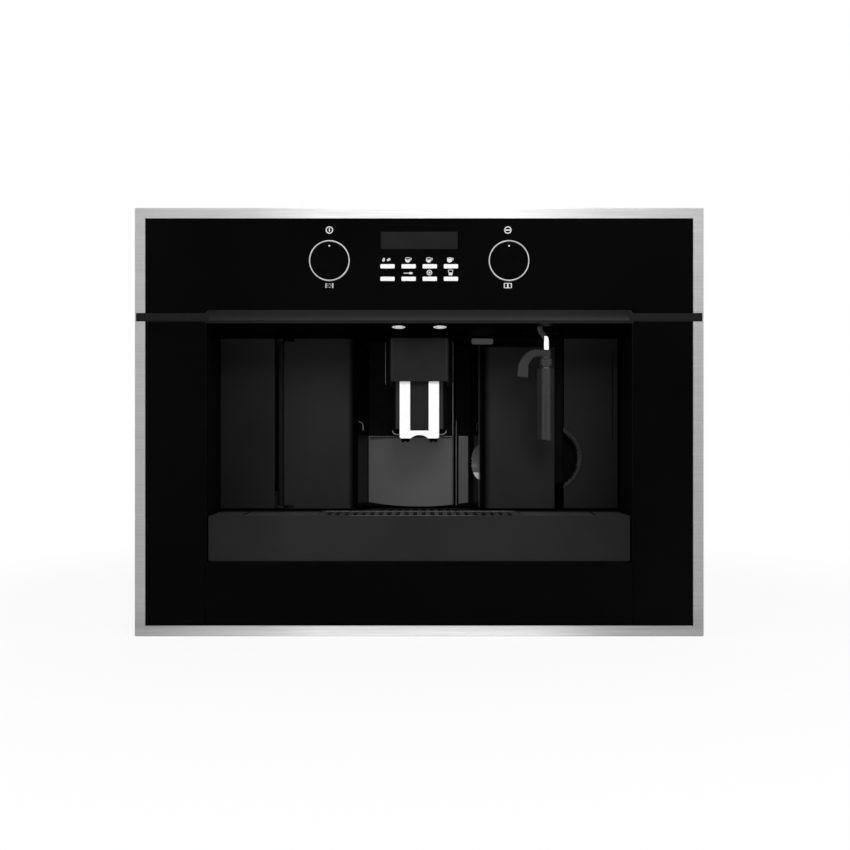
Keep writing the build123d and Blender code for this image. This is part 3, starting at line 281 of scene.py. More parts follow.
# Painted shadow across the back of the tray's top and of the grid, as under the door panel's foot.
TOP_FADES = TRAY_FADES + ((DEEP, [(-20, 1), (33, 1), (41, 0.12), (90, 0.08)]),)
GRID_FADES = ((DEEP, [(-20, 1), (43, 1), (48, 0.1), (90, 0.06)]),)
# Painted shade on the inner panels: nearly black strips at the bay's edges, darker towards their outer ends.
PANEL_FADES = (
    (
        ACROSS,
        [
            (-155, 0.85),
            (-110, 1),
            (-79.5, 0.95),
            (-76, 0.3),
            (-73.5, 0.04),
            (72, 0.04),
            (75, 0.4),
            (79, 1),
            (151, 0.85),
        ],
    ),
)
# Painted light and shade on the outer panels: darker towards the sides, lighter towards the top.
OUTER_FADES = (
    (ACROSS, [(-222, 0.6), (-216, 0.8), (-160, 1), (155, 1), (222, 0.8)]),
    (UP, [(126, 0.74), (250, 0.78), (295, 1.05), (318, 1.5)]),
)

# ---------------------------------------- materials of the slots
BOARD_DARK = (0.01, 0.05, 0.02, 1)
BOARD_LIGHT = (0.015, 0.085, 0.035, 1)
PANEL_SKIN = {"rough": (0.46, 0.58), "gap": 0.05, "size": 14, "bump": 0.015, "bump_size": 1600}
MATERIALS = {
    "steel": greys(
        "brushed_steel",
        232,
        255,
        (0.34, 0.44),
        metal=0.4,
        grain=(10, 900, 900),
        size=1.6,
        bump=0.006,
        bump_grain=(8, 900, 900),
        bump_size=2.0,
        fades=STEEL_FADES,
    ),
    "grip_dark": soft_black(
        "grip_satin",
        33,
        (0.4, 0.5),
        gap=0.04,
        size=160,
        specular=0.15,
        fades=BAND_FADES,
    ),
    "black_glass": soft_black("black_glass", 8, (0.02, 0.05), size=6),
    "carrier_black": soft_black("carrier_plastic", 22, (0.45, 0.6), bump=0.02),
    "board_green": surface("circuit_board", BOARD_DARK, BOARD_LIGHT, (0.35, 0.5), size=220),
    "display_dark": soft_black("display_pane", 32, (0.10, 0.16), gap=0.06, size=20, specular=0.3),
    "liner_black": soft_black("liner_plastic", 4, (0.4, 0.5), bump=0.015, specular=0.08),
    "lamp_white": greys("lamp_lens", 172, 238, (0.2, 0.35), size=420, glow=0.62),
    "panel_matte": soft_black(
        "panel_matte",
        33,
        specular=0.18,
        fades=PANEL_FADES,
        fade_gloss=True,
        **PANEL_SKIN,
    ),
    "panel_outer": soft_black("panel_outer", 30, specular=0.15, fades=OUTER_FADES, **PANEL_SKIN),
    "catch_grey": soft_black("catch_grey", 98, (0.3, 0.45), gap=0.06, specular=0.3),
    "bay_gloss": soft_black("bay_gloss", 13, (0.12, 0.2), size=12, specular=0.25),
    "splash_grey": soft_black("splash_satin", 97, (0.3, 0.4), gap=0.03, size=9, specular=0.25),
    "housing_dark": soft_black("housing_satin", 29, (0.4, 0.52), gap=0.05, bump=0.012, specular=0.15),
    "spout_black": soft_black("spout_gloss", 12, (0.08, 0.18), size=30),
    # The spout's trim and the wand's tube glow a little: painted light.
    "chrome": bright_metal("bright_steel", 0.11),
    "tray_dark": soft_black(
        "tray_satin",
        36,
        (0.42, 0.54),
        gap=0.03,
        size=12,
        bump=0.01,
        specular=0.18,
        fades=TRAY_FADES,
    ),
    "grid_steel": greys(
        "grid_steel",
        68,
        80,
        (0.36, 0.46),
        metal=0.5,
        grain=(12, 300, 300),
        size=2.0,
        fades=GRID_FADES,
        fade_gloss=True,
    ),
    "tank_smoke": greys("tank_smoke", 96, 118, (0.05, 0.12), size=10, see_through=0.8),
    "wand_grey": soft_black("wand_rubber", 50, (0.42, 0.56), gap=0.05, bump=0.012, specular=0.25),
    "knob_black": soft_black("knob_satin", 8, (0.05, 0.1), size=50, specular=0.12),
    "bar_white": greys("bar_white", 234, 247, (0.3, 0.42), size=120),
    "zinc_sheet": greys("zinc_sheet", 176, 194, (0.38, 0.48), metal=0.85, size=110, bump=0.01),
    "inner_plastic": soft_black("inner_plastic", 52, (0.4, 0.55), bump=0.02),
    "brew_grey": soft_black("brew_plastic", 84, (0.38, 0.52), bump=0.02),
    "hopper_smoke": greys("hopper_smoke", 88, 108, (0.06, 0.14), size=12, see_through=0.7),
    "boiler_metal": greys("boiler_metal", 150, 190, (0.2, 0.34), metal=1.0, size=50),
    "pump_metal": greys("pump_metal", 120, 160, (0.3, 0.45), metal=0.9, size=80),
    "rail_zinc": greys("rail_zinc", 176, 206, (0.24, 0.38), metal=0.95, grain=(200, 4, 200), size=2.0),
}

# ---------------------------------------- materials of second finishes and small pieces
# The knob rings glow a little: painted light.
RING_STEEL = greys("ring_steel", 196, 222, (0.3, 0.4), metal=0.3, size=80, glow=0.12)
BLACK_GAP = soft_black("deep_black", 3, (0.5, 0.6), specular=0.05)
RUBBER = soft_black("rubber", 26, (0.6, 0.72), bump=0.02, specular=0.2)
SPOUT_GREY = satin("spout_satin", 29)
WING_GREY = satin("wing_satin", 42)
# The recess bevel glows: painted light where the lamps do not reach.
RECESS_GREY = satin("recess_satin", 34, glow=0.3)
RIM_GREY = satin("rim_satin", 38)
# A lighter copy of the tray's plastic for its top, as painted light, with painted shadow towards the back.
TRAY_TOP_LIT = soft_black("tray_top_lit_and_shaded", 62, (0.4, 0.5), gap=0.05, specular=0.3, fades=TOP_FADES, fade_gloss=True)
# Painted highlight on the wand's tube, which glows strongly; painted shade on its bend and left side.
TUBE_HIGHLIGHT = bright_metal("tube_highlight", 0.74)
TUBE_SHADED = soft_black("tube_shaded", 66, (0.25, 0.35), gap=0.08, specular=0.4)
BARREL_DARK = soft_black("barrel_dark", 11, (0.45, 0.55), specular=0.1)
# The finger scoop glows a little: painted light in the hollow.
SCOOP_GREY = greys("scoop_satin", 96, 104, (0.35, 0.45), size=60, specular=0.3, glow=0.12)
# Darker and lighter copies of the bay's gloss for its side and back walls: painted shade and light.
WALL_DARK = soft_black("bay_side", 7, (0.2, 0.3), size=12, specular=0.15)
WALL_BACK = soft_black("bay_back", 19, (0.12, 0.2), size=12, specular=0.25)
# Light greys for thin lines along edges: painted highlights and glints.
EDGE_HIGHLIGHT = soft_black("edge_highlight", 74, (0.3, 0.4), gap=0.05, specular=0.3)
LINE_LIGHT = edge_light("edge_light", 128)
GLINT = edge_light("edge_glint", 168)
# Painted highlight on the scoop's tip, which glows.
TIP_HIGHLIGHT = greys("scoop_tip_highlight", 196, 224, (0.35, 0.45), size=90, glow=0.2)
MESH_BLACK = soft_black("filter_mesh", 14, (0.7, 0.85), bump=0.12, bump_size=1400, specular=0.1)
PRINT = greys("print_white", 206, 226, (0.4, 0.5), size=300)
SCREW = greys("screw_zinc", 170, 214, (0.2, 0.34), metal=1.0, size=300)
DIODE = greys("diode", 120, 150, (0.4, 0.5), glow=0.5)

BUTTON_NODES = [f"button_{number}" for number in range(1, BUTTON_COUNT + 1)]
SLOT_NODES = {
    "steel": "front_frame",
    "grip_dark": "handle_band",
    "black_glass": "control_glass side_glass lower_glass",
    "carrier_black": "front_carrier wand_socket power_inlet",
    "board_green": "control_board power_board",
    "display_dark": "display_window",
    "liner_black": "niche_liner hinge_brackets",
    "lamp_white": "lamps",
    "panel_matte": "right_inner_panel door_panel",
    "panel_outer": "left_outer_panel tank_front",
    "catch_grey": "door_catch",
    "bay_gloss": "bay_right door_bay spout_column",
    "splash_grey": "splash_fixed splash_door",
    "housing_dark": "spout_housing",
    "spout_black": "spout_body",
    "chrome": "spout_trim wand_tube",
    "tray_dark": "drip_tray",
    "grid_steel": "cup_grid",
    "tank_smoke": "water_tank",
    "wand_grey": "wand_grip selector_ring wand_sleeve",
    "knob_black": "left_knob right_knob",
    "bar_white": " ".join(BUTTON_NODES),
    "zinc_sheet": "housing_shell top_cover rear_cover",
    "inner_plastic": "tank_lid chassis grounds_container hopper_lid grind_dial",
    "brew_grey": "brew_unit grinder",
    "hopper_smoke": "bean_hopper",
    "boiler_metal": "boiler",
    "pump_metal": "pump",
    "rail_zinc": "rail_outer rail_middle rail_inner",
}
for slot_name, node_names in SLOT_NODES.items():
    for node_name in node_names.split():
        node = NODES[node_name]
        node.data.materials.clear()
        node.data.materials.append(MATERIALS[slot_name])


# ---------------------------------------- mesh builders, all lengths in millimetres
SHARP_ANGLE = math.radians(32)
MERGE_DISTANCE = 1e-7
BAR_SIDES = 8
BEAD_EASE = 0.12
SCREW_STEPS = 24
PIN_STEPS = 16


def finish_mesh(name, bm, body, material, replaces=()):
    """Turns a bmesh in millimetres into a piece that rides on its body."""
    bmesh.ops.scale(bm, vec=(MM, MM, MM), verts=bm.verts)
    bmesh.ops.remove_doubles(bm, verts=bm.verts, dist=MERGE_DISTANCE)
    bmesh.ops.recalc_face_normals(bm, faces=bm.faces)
    mesh = bpy.data.meshes.new(name)
    bm.to_mesh(mesh)
    bm.free()
    mesh.shade_smooth()
    mesh.set_sharp_from_angle(angle=SHARP_ANGLE)
    mesh.materials.append(material)
    obj = bpy.data.objects.new(name, mesh)
    bpy.context.collection.objects.link(obj)
    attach(obj, body)
    if replaces:
        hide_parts(*replaces)


def turn(steps):
    """Evenly spaced angles of one full turn."""
    return [2 * math.pi * i / steps for i in range(steps)]


def ring_of(bm, points):
    return [bm.verts.new(p) for p in points]


def bridge(bm, first, second):
    """Faces between two closed rings of as many points."""
    for i in range(len(first)):
        j = (i + 1) % len(first)
        bm.faces.new((first[i], first[j], second[j], second[i]))


def turned(bm, profile, origin, axis, steps, lobes=None):
    """A turned form: profile is (radius, height along the axis) from one end to the other.

    With lobes, given as (count, share, first ring), the radius waves from that ring on.
    """
    axis = Vector(axis).normalized()
    side = axis.orthogonal().normalized()
    other = axis.cross(side)
    rings = []
    for number, (radius, height) in enumerate(profile):
        centre = Vector(origin) + axis * height
        if not radius:
            rings.append([bm.verts.new(centre)])
            continue
        points = []
        for t in turn(steps):
            waved = lobes and number >= lobes[2]
            r = radius * (1 + lobes[1] * math.cos(lobes[0] * t)) if waved else radius
            points.append(centre + side * (r * math.cos(t)) + other * (r * math.sin(t)))
        rings.append(ring_of(bm, points))
    for first, second in zip(rings, rings[1:]):
        if len(first) == 1 or len(second) == 1:
            tip, rim = (first[0], second) if len(first) == 1 else (second[0], first)
            for i in range(len(rim)):
                bm.faces.new((tip, rim[i], rim[(i + 1) % len(rim)]))
        else:
            bridge(bm, first, second)
    for end in (rings[0], rings[-1]):
        if len(end) > 1:
            bm.faces.new(end)


def slab(bm, outline, y_front, y_back):
    """A flat form: outline is (x, z) points, between two depths."""
    back, front = (ring_of(bm, [(x, y, z) for x, z in outline]) for y in (y_back, y_front))
    bridge(bm, back, front)
    bm.faces.new(back)
    bm.faces.new(front)


def hoop(bm, cx, cz, section, steps):
    """A ring round an axis along Y: section is (radius, y) all the way round the ring's own outline."""
    loops = [
        ring_of(bm, [(cx + radius * math.cos(t), y, cz + radius * math.sin(t)) for t in turn(steps)])
        for radius, y in section
    ]
    for first, second in zip(loops, loops[1:] + loops[:1]):
        bridge(bm, first, second)


def rounded(cx, cz, width, height, radius, steps):
    """A rounded rectangle as (x, z) points."""
    points = []
    for sx, sz, start in ((1, 1, 0), (-1, 1, 90), (-1, -1, 180), (1, -1, 270)):
        ox, oz = cx + sx * (width / 2 - radius), cz + sz * (height / 2 - radius)
        for i in range(steps + 1):
            t = math.radians(start + 90 * i / steps)
            points.append((ox + radius * math.cos(t), oz + radius * math.sin(t)))
    return points


def stroke(points, width):
    """A line of even width through points, as an outline."""
    left, right = [], []
    for i, point in enumerate(points):
        before = Vector(points[max(i - 1, 0)])
        after = Vector(points[min(i + 1, len(points) - 1)])
        along = (after - before).normalized()
        aside = Vector((-along.y, along.x)) * (width / 2)
        left.append(tuple(Vector(point) + aside))
        right.append(tuple(Vector(point) - aside))
    return left + right[::-1]


def block(bm, low, high, bevel):
    """A box between two corners with eased edges."""
    size = Vector(high) - Vector(low)
    centre = (Vector(high) + Vector(low)) / 2
    made = bmesh.ops.create_cube(bm, size=1.0)["verts"]
    for v in made:
        v.co = v.co * size + centre
    edges = list({e for v in made for e in v.link_edges})
    bmesh.ops.bevel(bm, geom=edges, offset=bevel, segments=1, profile=0.5, affect="EDGES")


def pipe(bm, points, radius):
    """A round bar along points."""
    rings = []
    side = None
    for i, point in enumerate(points):
        before = Vector(points[max(i - 1, 0)])
        after = Vector(points[min(i + 1, len(points) - 1)])
        along = (after - before).normalized()
        side = (along.orthogonal() if side is None else side - along * side.dot(along)).normalized()
        other = along.cross(side)
        centre = Vector(point)
        rings.append(
            ring_of(
                bm,
                [
                    centre + side * (radius * math.cos(t)) + other * (radius * math.sin(t))
                    for t in turn(BAR_SIDES)
                ],
            )
        )
    for first, second in zip(rings, rings[1:]):
        bridge(bm, first, second)
    bm.faces.new(rings[0])
    bm.faces.new(rings[-1])


def trim(name, body, material, bars=(), boxes=(), radius=0.4):
    """Thin beads: round bars along points and small boxes."""
    bm = bmesh.new()
    for points in bars:
        pipe(bm, points, radius)
    for low, high in boxes:
        block(bm, low, high, BEAD_EASE)
    finish_mesh(name, bm, body, material)


# The head's profile in shares of its radius and height, and its socket as lobes from the fifth ring on
SCREW_HEAD = [(1, 0), (1, 0.35), (0.9, 0.75), (0.66, 1), (0.46, 1), (0.42, 0.35), (0, 0.3)]
SOCKET_LOBES = (6, 0.12, 4)


def screw(bm, place, normal, radius, height):
    """A pan head screw with a six-lobed socket."""
    profile = [(radius * wide, height * high) for wide, high in SCREW_HEAD]
    turned(bm, profile, place, normal, SCREW_STEPS, lobes=SOCKET_LOBES)


# ---------------------------------------- knobs
INWARD = (0, 1, 0)
KNOB_STEPS = 96
MARK_STEPS = 20
KNOB_CAP = [
    (0, 0.7),
    (19.2, 0.7),
    (19.6, 0.7),
    (19.9, 0.8),
    (19.9, 4.6),
    (16.0, 5.0),
    (3.0, 5.0),
    (3.0, 10.4),
    (0, 10.4),
]
KNOB_RING = [(20.1, 0.5), (20.3, 0.0), (20.95, 0.0), (21.2, 0.3), (21.2, 4.9), (20.1, 4.9)]
KNOB_MARK = [(0, -0.12), (0.75, -0.12), (0.95, 0.0), (0.95, 0.2)]
MARK_RISE = 15.4
MARK_DEPTH = 0.75
for side, x in (("left", -KNOB_X), ("right", KNOB_X)):
    body = f"knob_{side}"
    bm = bmesh.new()
    turned(bm, KNOB_CAP, (x, KNOB_FRONT, KNOB_Z), INWARD, KNOB_STEPS)
    finish_mesh(f"{side}_knob_cap", bm, body, MATERIALS["knob_black"], [f"{side}_knob"])
    bm = bmesh.new()
    hoop(bm, x, KNOB_Z, [(radius, KNOB_FRONT + depth) for radius, depth in KNOB_RING], KNOB_STEPS)
    finish_mesh(f"{side}_knob_ring", bm, body, RING_STEEL)
    bm = bmesh.new()
    turned(bm, KNOB_MARK, (x, KNOB_FRONT + MARK_DEPTH, KNOB_Z + MARK_RISE), INWARD, MARK_STEPS)
    finish_mesh(f"{side}_knob_mark", bm, body, PRINT)

# ---------------------------------------- printed signs on the control glass
PRINT_FRONT = GLASS_Y - 0.07
PRINT_BACK = GLASS_Y + 0.02
SIGN_HIGH = 424.8
SIGN_LOW = 366.7
LEFT_SIGN_X = -KNOB_X
RIGHT_SIGN_X = KNOB_X - 1.2
COLUMNS = [(i - 1.5) * BUTTON_PITCH for i in range(4)]
UPPER_SIGNS = BUTTON_ROWS[0] + 6.7
LOWER_SIGNS = BUTTON_ROWS[1] + 6.0
CUP_SIZE = 0.92
HALF_STEPS = 12
HOOP_STEPS = 36
SWITCH_HOOP = (3.85, 2.85)


def sign(name, cx, cz, outlines, radii=None):
    """A printed sign: its outlines are drawn about its own centre, and a ring may stand round it."""
    bm = bmesh.new()
    for outline in outlines:
        slab(bm, [(cx + x, cz + z) for x, z in outline], PRINT_FRONT, PRINT_BACK)
    if radii:
        outer, inner = radii
        section = [(outer, PRINT_BACK), (outer, PRINT_FRONT), (inner, PRINT_FRONT), (inner, PRINT_BACK)]
        hoop(bm, cx, cz, section, HOOP_STEPS)
    finish_mesh(name, bm, "machine", PRINT)


def bean(cx, cz, tilt):
    """Two halves of a bean with the crease left open between them."""
    a = math.radians(tilt)
    halves = []
    for side in (-1, 1):
        points = []
        for i in range(HALF_STEPS + 1):
            t = math.pi * i / HALF_STEPS
            u, v = side * (0.18 + 1.0 * math.sin(t)), 2.2 * math.cos(t)
            points.append((cx + u * math.cos(a) - v * math.sin(a), cz + u * math.sin(a) + v * math.cos(a)))
        halves.append(points)
    return halves


def cup(filled=False):
    """A cup seen from slightly above: bowl, rim and handle; the coffee is left open unless it is filled."""
    bowl = [(-3.0, 1.4)]
    for i in range(HALF_STEPS + 1):
        t = math.pi + math.pi * i / HALF_STEPS
        bowl.append((-0.2 + 2.8 * math.cos(t), -0.2 + 2.9 * math.sin(t)))
    bowl.append((2.6, 1.4))
    if not filled:
        bowl += [(1.7, 0.5), (-0.2, 0.1), (-2.1, 0.5)]
    rim = stroke([(-2.9, 2.0), (-0.2, 2.45), (2.5, 2.0)], 0.75)
    handle = stroke([(2.2, 1.9), (3.9, 1.7), (3.8, 0.2), (2.2, -0.7)], 0.8)
    return [[(CUP_SIZE * x, CUP_SIZE * z) for x, z in outline] for outline in (bowl, rim, handle)]


def spoon():
    """A spoon lying on its side: a tapered handle and an oval bowl."""
    bowl = [
        (2.2 + 2.0 * math.cos(t), 1.25 * math.sin(t))
        for t in (math.radians(a) for a in range(-150, 151, 25))
    ]
    return [(-5.2, -0.45), (0.6, -0.35)] + bowl + [(0.6, 0.35), (-5.2, 0.45)]


def wheel():
    """Six slanted spokes and a hub."""
    spokes = []
    for t in turn(6):
        slanted = t + 0.35
        spokes.append(
            stroke(
                [(0.9 * math.cos(t), 0.9 * math.sin(t)), (2.1 * math.cos(slanted), 2.1 * math.sin(slanted))],
                0.5,
            )
        )
    hub = [(0.75 * math.cos(t), 0.75 * math.sin(t)) for t in turn(14)]
    return spokes + [hub]


sign("sign_power", LEFT_SIGN_X, SIGN_HIGH, [rounded(0, 0.2, 1.1, 4.0, 0.5, 3)], SWITCH_HOOP)
sign("sign_steam", RIGHT_SIGN_X, SIGN_HIGH, [rounded(0, 0, 6.6, 1.4, 0.3, 2)], SWITCH_HOOP)
sign(
    "sign_menu",
    LEFT_SIGN_X,
    SIGN_LOW,
    [rounded(x, 0, 0.9, 5.0, 0.2, 2) for x in (-3.6, 3.6)]
    + [rounded(x, z, 0.7, 0.7, 0.2, 1) for z in (-1.7, 0.0, 1.7) for x in (-1.6, 0.0, 1.6) if x or z],
)
sign(
    "sign_cup_warmer",
    RIGHT_SIGN_X,
    SIGN_LOW,
    [
        rounded(-3.7, 0, 1.0, 5.2, 0.2, 2),
        rounded(3.7, 0, 1.0, 5.2, 0.2, 2),
        rounded(0, 2.3, 7.0, 0.7, 0.2, 2),
        rounded(0, -2.4, 7.0, 0.7, 0.2, 2),
        rounded(0, -0.3, 1.5, 3.4, 0.3, 2),
    ],
)
sign("sign_beans", COLUMNS[0], UPPER_SIGNS, bean(-4.0, 0.1, -14) + bean(1.3, 0.3, -58))
sign("sign_short_cup", COLUMNS[1] - 0.8, UPPER_SIGNS + 0.1, cup())
sign("sign_cup", COLUMNS[2] - 1.0, UPPER_SIGNS + 0.1, cup())
sign("sign_full_cup", COLUMNS[3] - 1.2, UPPER_SIGNS + 0.1, cup(filled=True))
sign("sign_spoon", COLUMNS[1], LOWER_SIGNS, [spoon()])
sign("sign_wheel", COLUMNS[2] - 0.4, LOWER_SIGNS + 0.6, wheel(), (2.9, 2.2))
sign(
    "sign_glass",
    COLUMNS[3] - 0.3,
    LOWER_SIGNS + 0.6,
    [
        [(-2.1, 0.1), (-1.8, -2.9), (1.8, -2.9), (2.1, 0.1)],
        stroke([(-2.35, 2.9), (-2.1, 0)], 0.6),
        stroke([(2.35, 2.9), (2.1, 0)], 0.6),
        stroke([(-2.4, 2.7), (2.4, 2.7)], 0.6),
    ],
)

# ---------------------------------------- second finishes on the CAD pieces
HOUSING_SIDE = 31.75
SPOUT_SIDE = 21.2
SPOUT_FACE_HALF = 22.0
WING_BACK = 36.0
TUBE_LOW = 215.0
TUBE_BEND = 316.6
TUBE_SHADE_X = WAND_X - 1.95
GRIP_END_X = WAND_X - 15
SLEEVE_SIDE = 5.97
LAMP_HIGH = 330.0
LENS_FALL = 0.965
BARREL_X = -151.0
BAY_BACK = 90.0
BEVEL_RIGHT = 190.0
RECESS_LEFT = 155.0
RECESS_RIGHT = 176.0
RECESS_LOW = 150.0
RECESS_HIGH = 215.0
RECESS_DEPTH = 57.5
SCOOP_LEFT = 60.0
SCOOP_LOW = 155.0
SCOOP_TIP = 167.0
SCOOP_HIGH = 203.0
SCOOP_FRONT = 59.0
SCOOP_BACK = 94.0


def paint_faces(node_name, material, test):
    """Gives a second finish to the CAD node's faces for which test(centre, normal) is true."""
    mesh = NODES[node_name].data
    mesh.materials.append(material)
    index = len(mesh.materials) - 1
    for polygon in mesh.polygons:
        if test(polygon.center / MM, polygon.normal):
            polygon.material_index = index


def in_recess(at):
    """Whether a place lies on the floor of the tank's finger recess."""
    return (
        RECESS_LEFT < at.x < RECESS_RIGHT
        and at.y > RECESS_DEPTH
        and RECESS_LOW < at.z < RECESS_HIGH
    )


def in_scoop(at, high):
    """Whether a place lies in the bay's finger scoop, below a height."""
    return SCOOP_LOW < at.z < high and SCOOP_FRONT < at.y < SCOOP_BACK


# The collar of the housing, the face, the wings and the outlets of the spout
paint_faces("spout_housing", MATERIALS["bay_gloss"], lambda at, facing: abs(at.x) > HOUSING_SIDE)
paint_faces("spout_body", SPOUT_GREY, lambda at, facing: facing.y < -0.9 and abs(at.x) < SPOUT_FACE_HALF)
paint_faces("spout_body", WING_GREY, lambda at, facing: abs(at.x) > SPOUT_SIDE and at.y < WING_BACK)
paint_faces("spout_body", BLACK_GAP, lambda at, facing: at.z < SPOUT_FOOT)

# The wand: a painted highlight on its straight tube, painted shade on the tube's bend and left side, a
# painted highlight on the grip's underside, the sleeve's fins
paint_faces("wand_tube", TUBE_HIGHLIGHT, lambda at, facing: TUBE_LOW < at.z < TUBE_BEND)
paint_faces(
    "wand_tube",
    TUBE_SHADED,
    lambda at, facing: at.z >= TUBE_BEND or (at.z > TUBE_LOW and at.x < TUBE_SHADE_X),
)
paint_faces("wand_grip", EDGE_HIGHLIGHT, lambda at, facing: facing.z < -0.9 and at.x < GRIP_END_X)
paint_faces("wand_sleeve", RUBBER, lambda at, facing: abs(at.x - WAND_X) > SLEEVE_SIDE)
paint_faces("wand_socket", MATERIALS["liner_black"], lambda at, facing: True)

# The tray's top, the brackets' fronts, the rims of the lamps, the bars behind the face of the glass
paint_faces("drip_tray", TRAY_TOP_LIT, lambda at, facing: facing.z > 0.9 and at.z > TRAY_HIGH - 2)
paint_faces("hinge_brackets", SPOUT_GREY, lambda at, facing: facing.y < -0.5)
paint_faces("lamps", BLACK_GAP, lambda at, facing: -facing.z < LENS_FALL and at.z < LAMP_HIGH)
for node_name in BUTTON_NODES:
    paint_faces(node_name, BLACK_GAP, lambda at, facing: at.y > GLASS_Y + 0.3)

# The tank's finger recess: its bevel, which glows as painted light, then its floor in black as painted shade
paint_faces(
    "tank_front",
    RECESS_GREY,
    lambda at, facing: at.x < BEVEL_RIGHT and at.y > PANEL_FACE + 0.1 and 0.3 < abs(facing.y) < 0.9,
)
paint_faces("tank_front", BLACK_GAP, lambda at, facing: in_recess(at))

# The door's barrel; the walls of the bay as darker side walls and a lighter back wall, painted shade and
# light; its finger scoop, which glows as painted light; and a painted highlight on the scoop's tip
paint_faces("door_panel", BARREL_DARK, lambda at, facing: at.x < BARREL_X)
paint_faces("door_bay", WALL_BACK, lambda at, facing: facing.y < -0.9 and at.y > BAY_BACK)
paint_faces("door_bay", WALL_DARK, lambda at, facing: facing.x > 0.5)
paint_faces("bay_right", WALL_DARK, lambda at, facing: facing.x < -0.5)
paint_faces(
    "bay_right",
    SCOOP_GREY,
    lambda at, facing: in_scoop(at, SCOOP_HIGH) and at.x > SCOOP_LEFT and facing.x > -0.2,
)
paint_faces("bay_right", TIP_HIGHLIGHT, lambda at, facing: in_scoop(at, SCOOP_TIP) and facing.z > 0.2)

# ---------------------------------------- beads of painted highlight round the housing, the seam and the spout
BEAD = 0.7
LEFT_BEAD = -39.6
RIGHT_BEAD = DOOR_EDGE - 0.05
BEAD_FRONT = BAY_FACE - 0.8
BEAD_BACK = BAY_FACE + 0.2
BEAD_LOW = 267.6
BEAD_HIGH = 316.0
SEAL_LOW = 128.6
SEAL_HIGH = 314.5
SEAM_HIGH = 226.0
GROOVE_X = 214.3
GROOVE_LOW = 203.0
GROOVE_HIGH = 303.0
trim(
    "bay_glint_beads",
    "service_door",
    GLINT,
    boxes=(
        ((LEFT_BEAD, BEAD_FRONT, BEAD_LOW), (LEFT_BEAD + BEAD, BEAD_BACK, BEAD_HIGH)),
        ((LEFT_BEAD, BEAD_FRONT, BEAD_LOW), (LEFT_BEAD + 3.6, BEAD_BACK, BEAD_LOW + BEAD)),
        ((RIGHT_BEAD - BEAD, BEAD_FRONT, GUARD_HIGH - 0.8), (RIGHT_BEAD, BEAD_BACK, BEAD_HIGH)),
        ((RIGHT_BEAD - 3.95, BEAD_FRONT, BEAD_LOW), (RIGHT_BEAD, BEAD_BACK, BEAD_LOW + BEAD)),
    ),
)
trim(
    "splash_edge_highlight",
    "service_door",
    EDGE_HIGHLIGHT,
    boxes=(((RIGHT_BEAD - BEAD, GUARD_FACE - 0.5, GUARD_LOW), (RIGHT_BEAD, GUARD_FACE + 0.5, GUARD_HIGH)),),
)
trim(
    "splash_groove",
    "service_door",
    BLACK_GAP,
    boxes=(((-57.0, GUARD_FACE - 0.5, GUARD_HIGH - 3.0), (37.2, GUARD_FACE + 5.5, GUARD_HIGH - 2.5)),),
)
trim(
    "tank_groove",
    "tank",
    BLACK_GAP,
    boxes=(
        ((GROOVE_X, PANEL_FACE - 0.2, GROOVE_LOW), (GROOVE_X + 0.9, PANEL_FACE + 0.2, GROOVE_HIGH)),
    ),
)
trim(
    "panel_seal",
    "machine",
    BLACK_GAP,
    boxes=(((BAY_EDGE - 1.6, PANEL_FACE + 1.2, SEAL_LOW), (BAY_EDGE + 0.9, PANEL_FACE + 3.0, SEAL_HIGH)),),
)
trim(
    "seam_seal",
    "machine",
    BLACK_GAP,
    boxes=(
        ((FIXED_EDGE + 0.1, GUARD_FACE + 0.1, GUARD_LOW), (FIXED_EDGE + 2.8, GUARD_FACE + 2.1, GUARD_HIGH)),
    ),
)
trim(
    "seam_highlight_bead",
    "machine",
    LINE_LIGHT,
    boxes=(
        ((FIXED_EDGE - 0.2, GUARD_FACE - 0.4, GUARD_LOW), (FIXED_EDGE + 0.4, GUARD_FACE + 0.5, SEAM_HIGH)),
    ),
)
# Painted highlights: thin hooked lines on the walls of the bays and a light line down the fixed panel's edge.
SIDE_HOOK = (
    (67.9, 61.0, 223.6),
    (66.4, 66.0, 223.4),
    (65.0, 71.0, 222.2),
    (64.6, 72.4, 219.6),
    (64.6, 72.4, 215.2),
)
SIDE_LINE = ((66.5, 61.5, 312.0), (66.5, 61.5, 129.0))
trim("side_hook_highlights", "machine", EDGE_HIGHLIGHT, bars=(SIDE_HOOK, SIDE_LINE), radius=0.42)
DOOR_HOOK = (
    (-67.7, 60.5, 224.6),
    (-66.2, 65.6, 224.3),
    (-64.6, 71.4, 222.6),
    (-63.9, 74.0, 219.8),
    (-63.9, 74.0, 215.2),
)
trim("door_hook_glint", "service_door", GLINT, bars=(DOOR_HOOK,))
# Painted highlights along the lower corners of the spout's wings.
CURL = (
    (29.2, 27.6, 214.6),
    (28.6, 27.2, 212.6),
    (27.2, 26.8, 211.2),
    (24.6, 26.4, 210.6),
    (20.9, 26.0, 210.5),
)
trim(
    "spout_curl_highlights",
    "coffee_spout",
    LINE_LIGHT,
    bars=[[(side * x, y, z) for x, y, z in CURL] for side in (-1, 1)],
    radius=0.5,
)

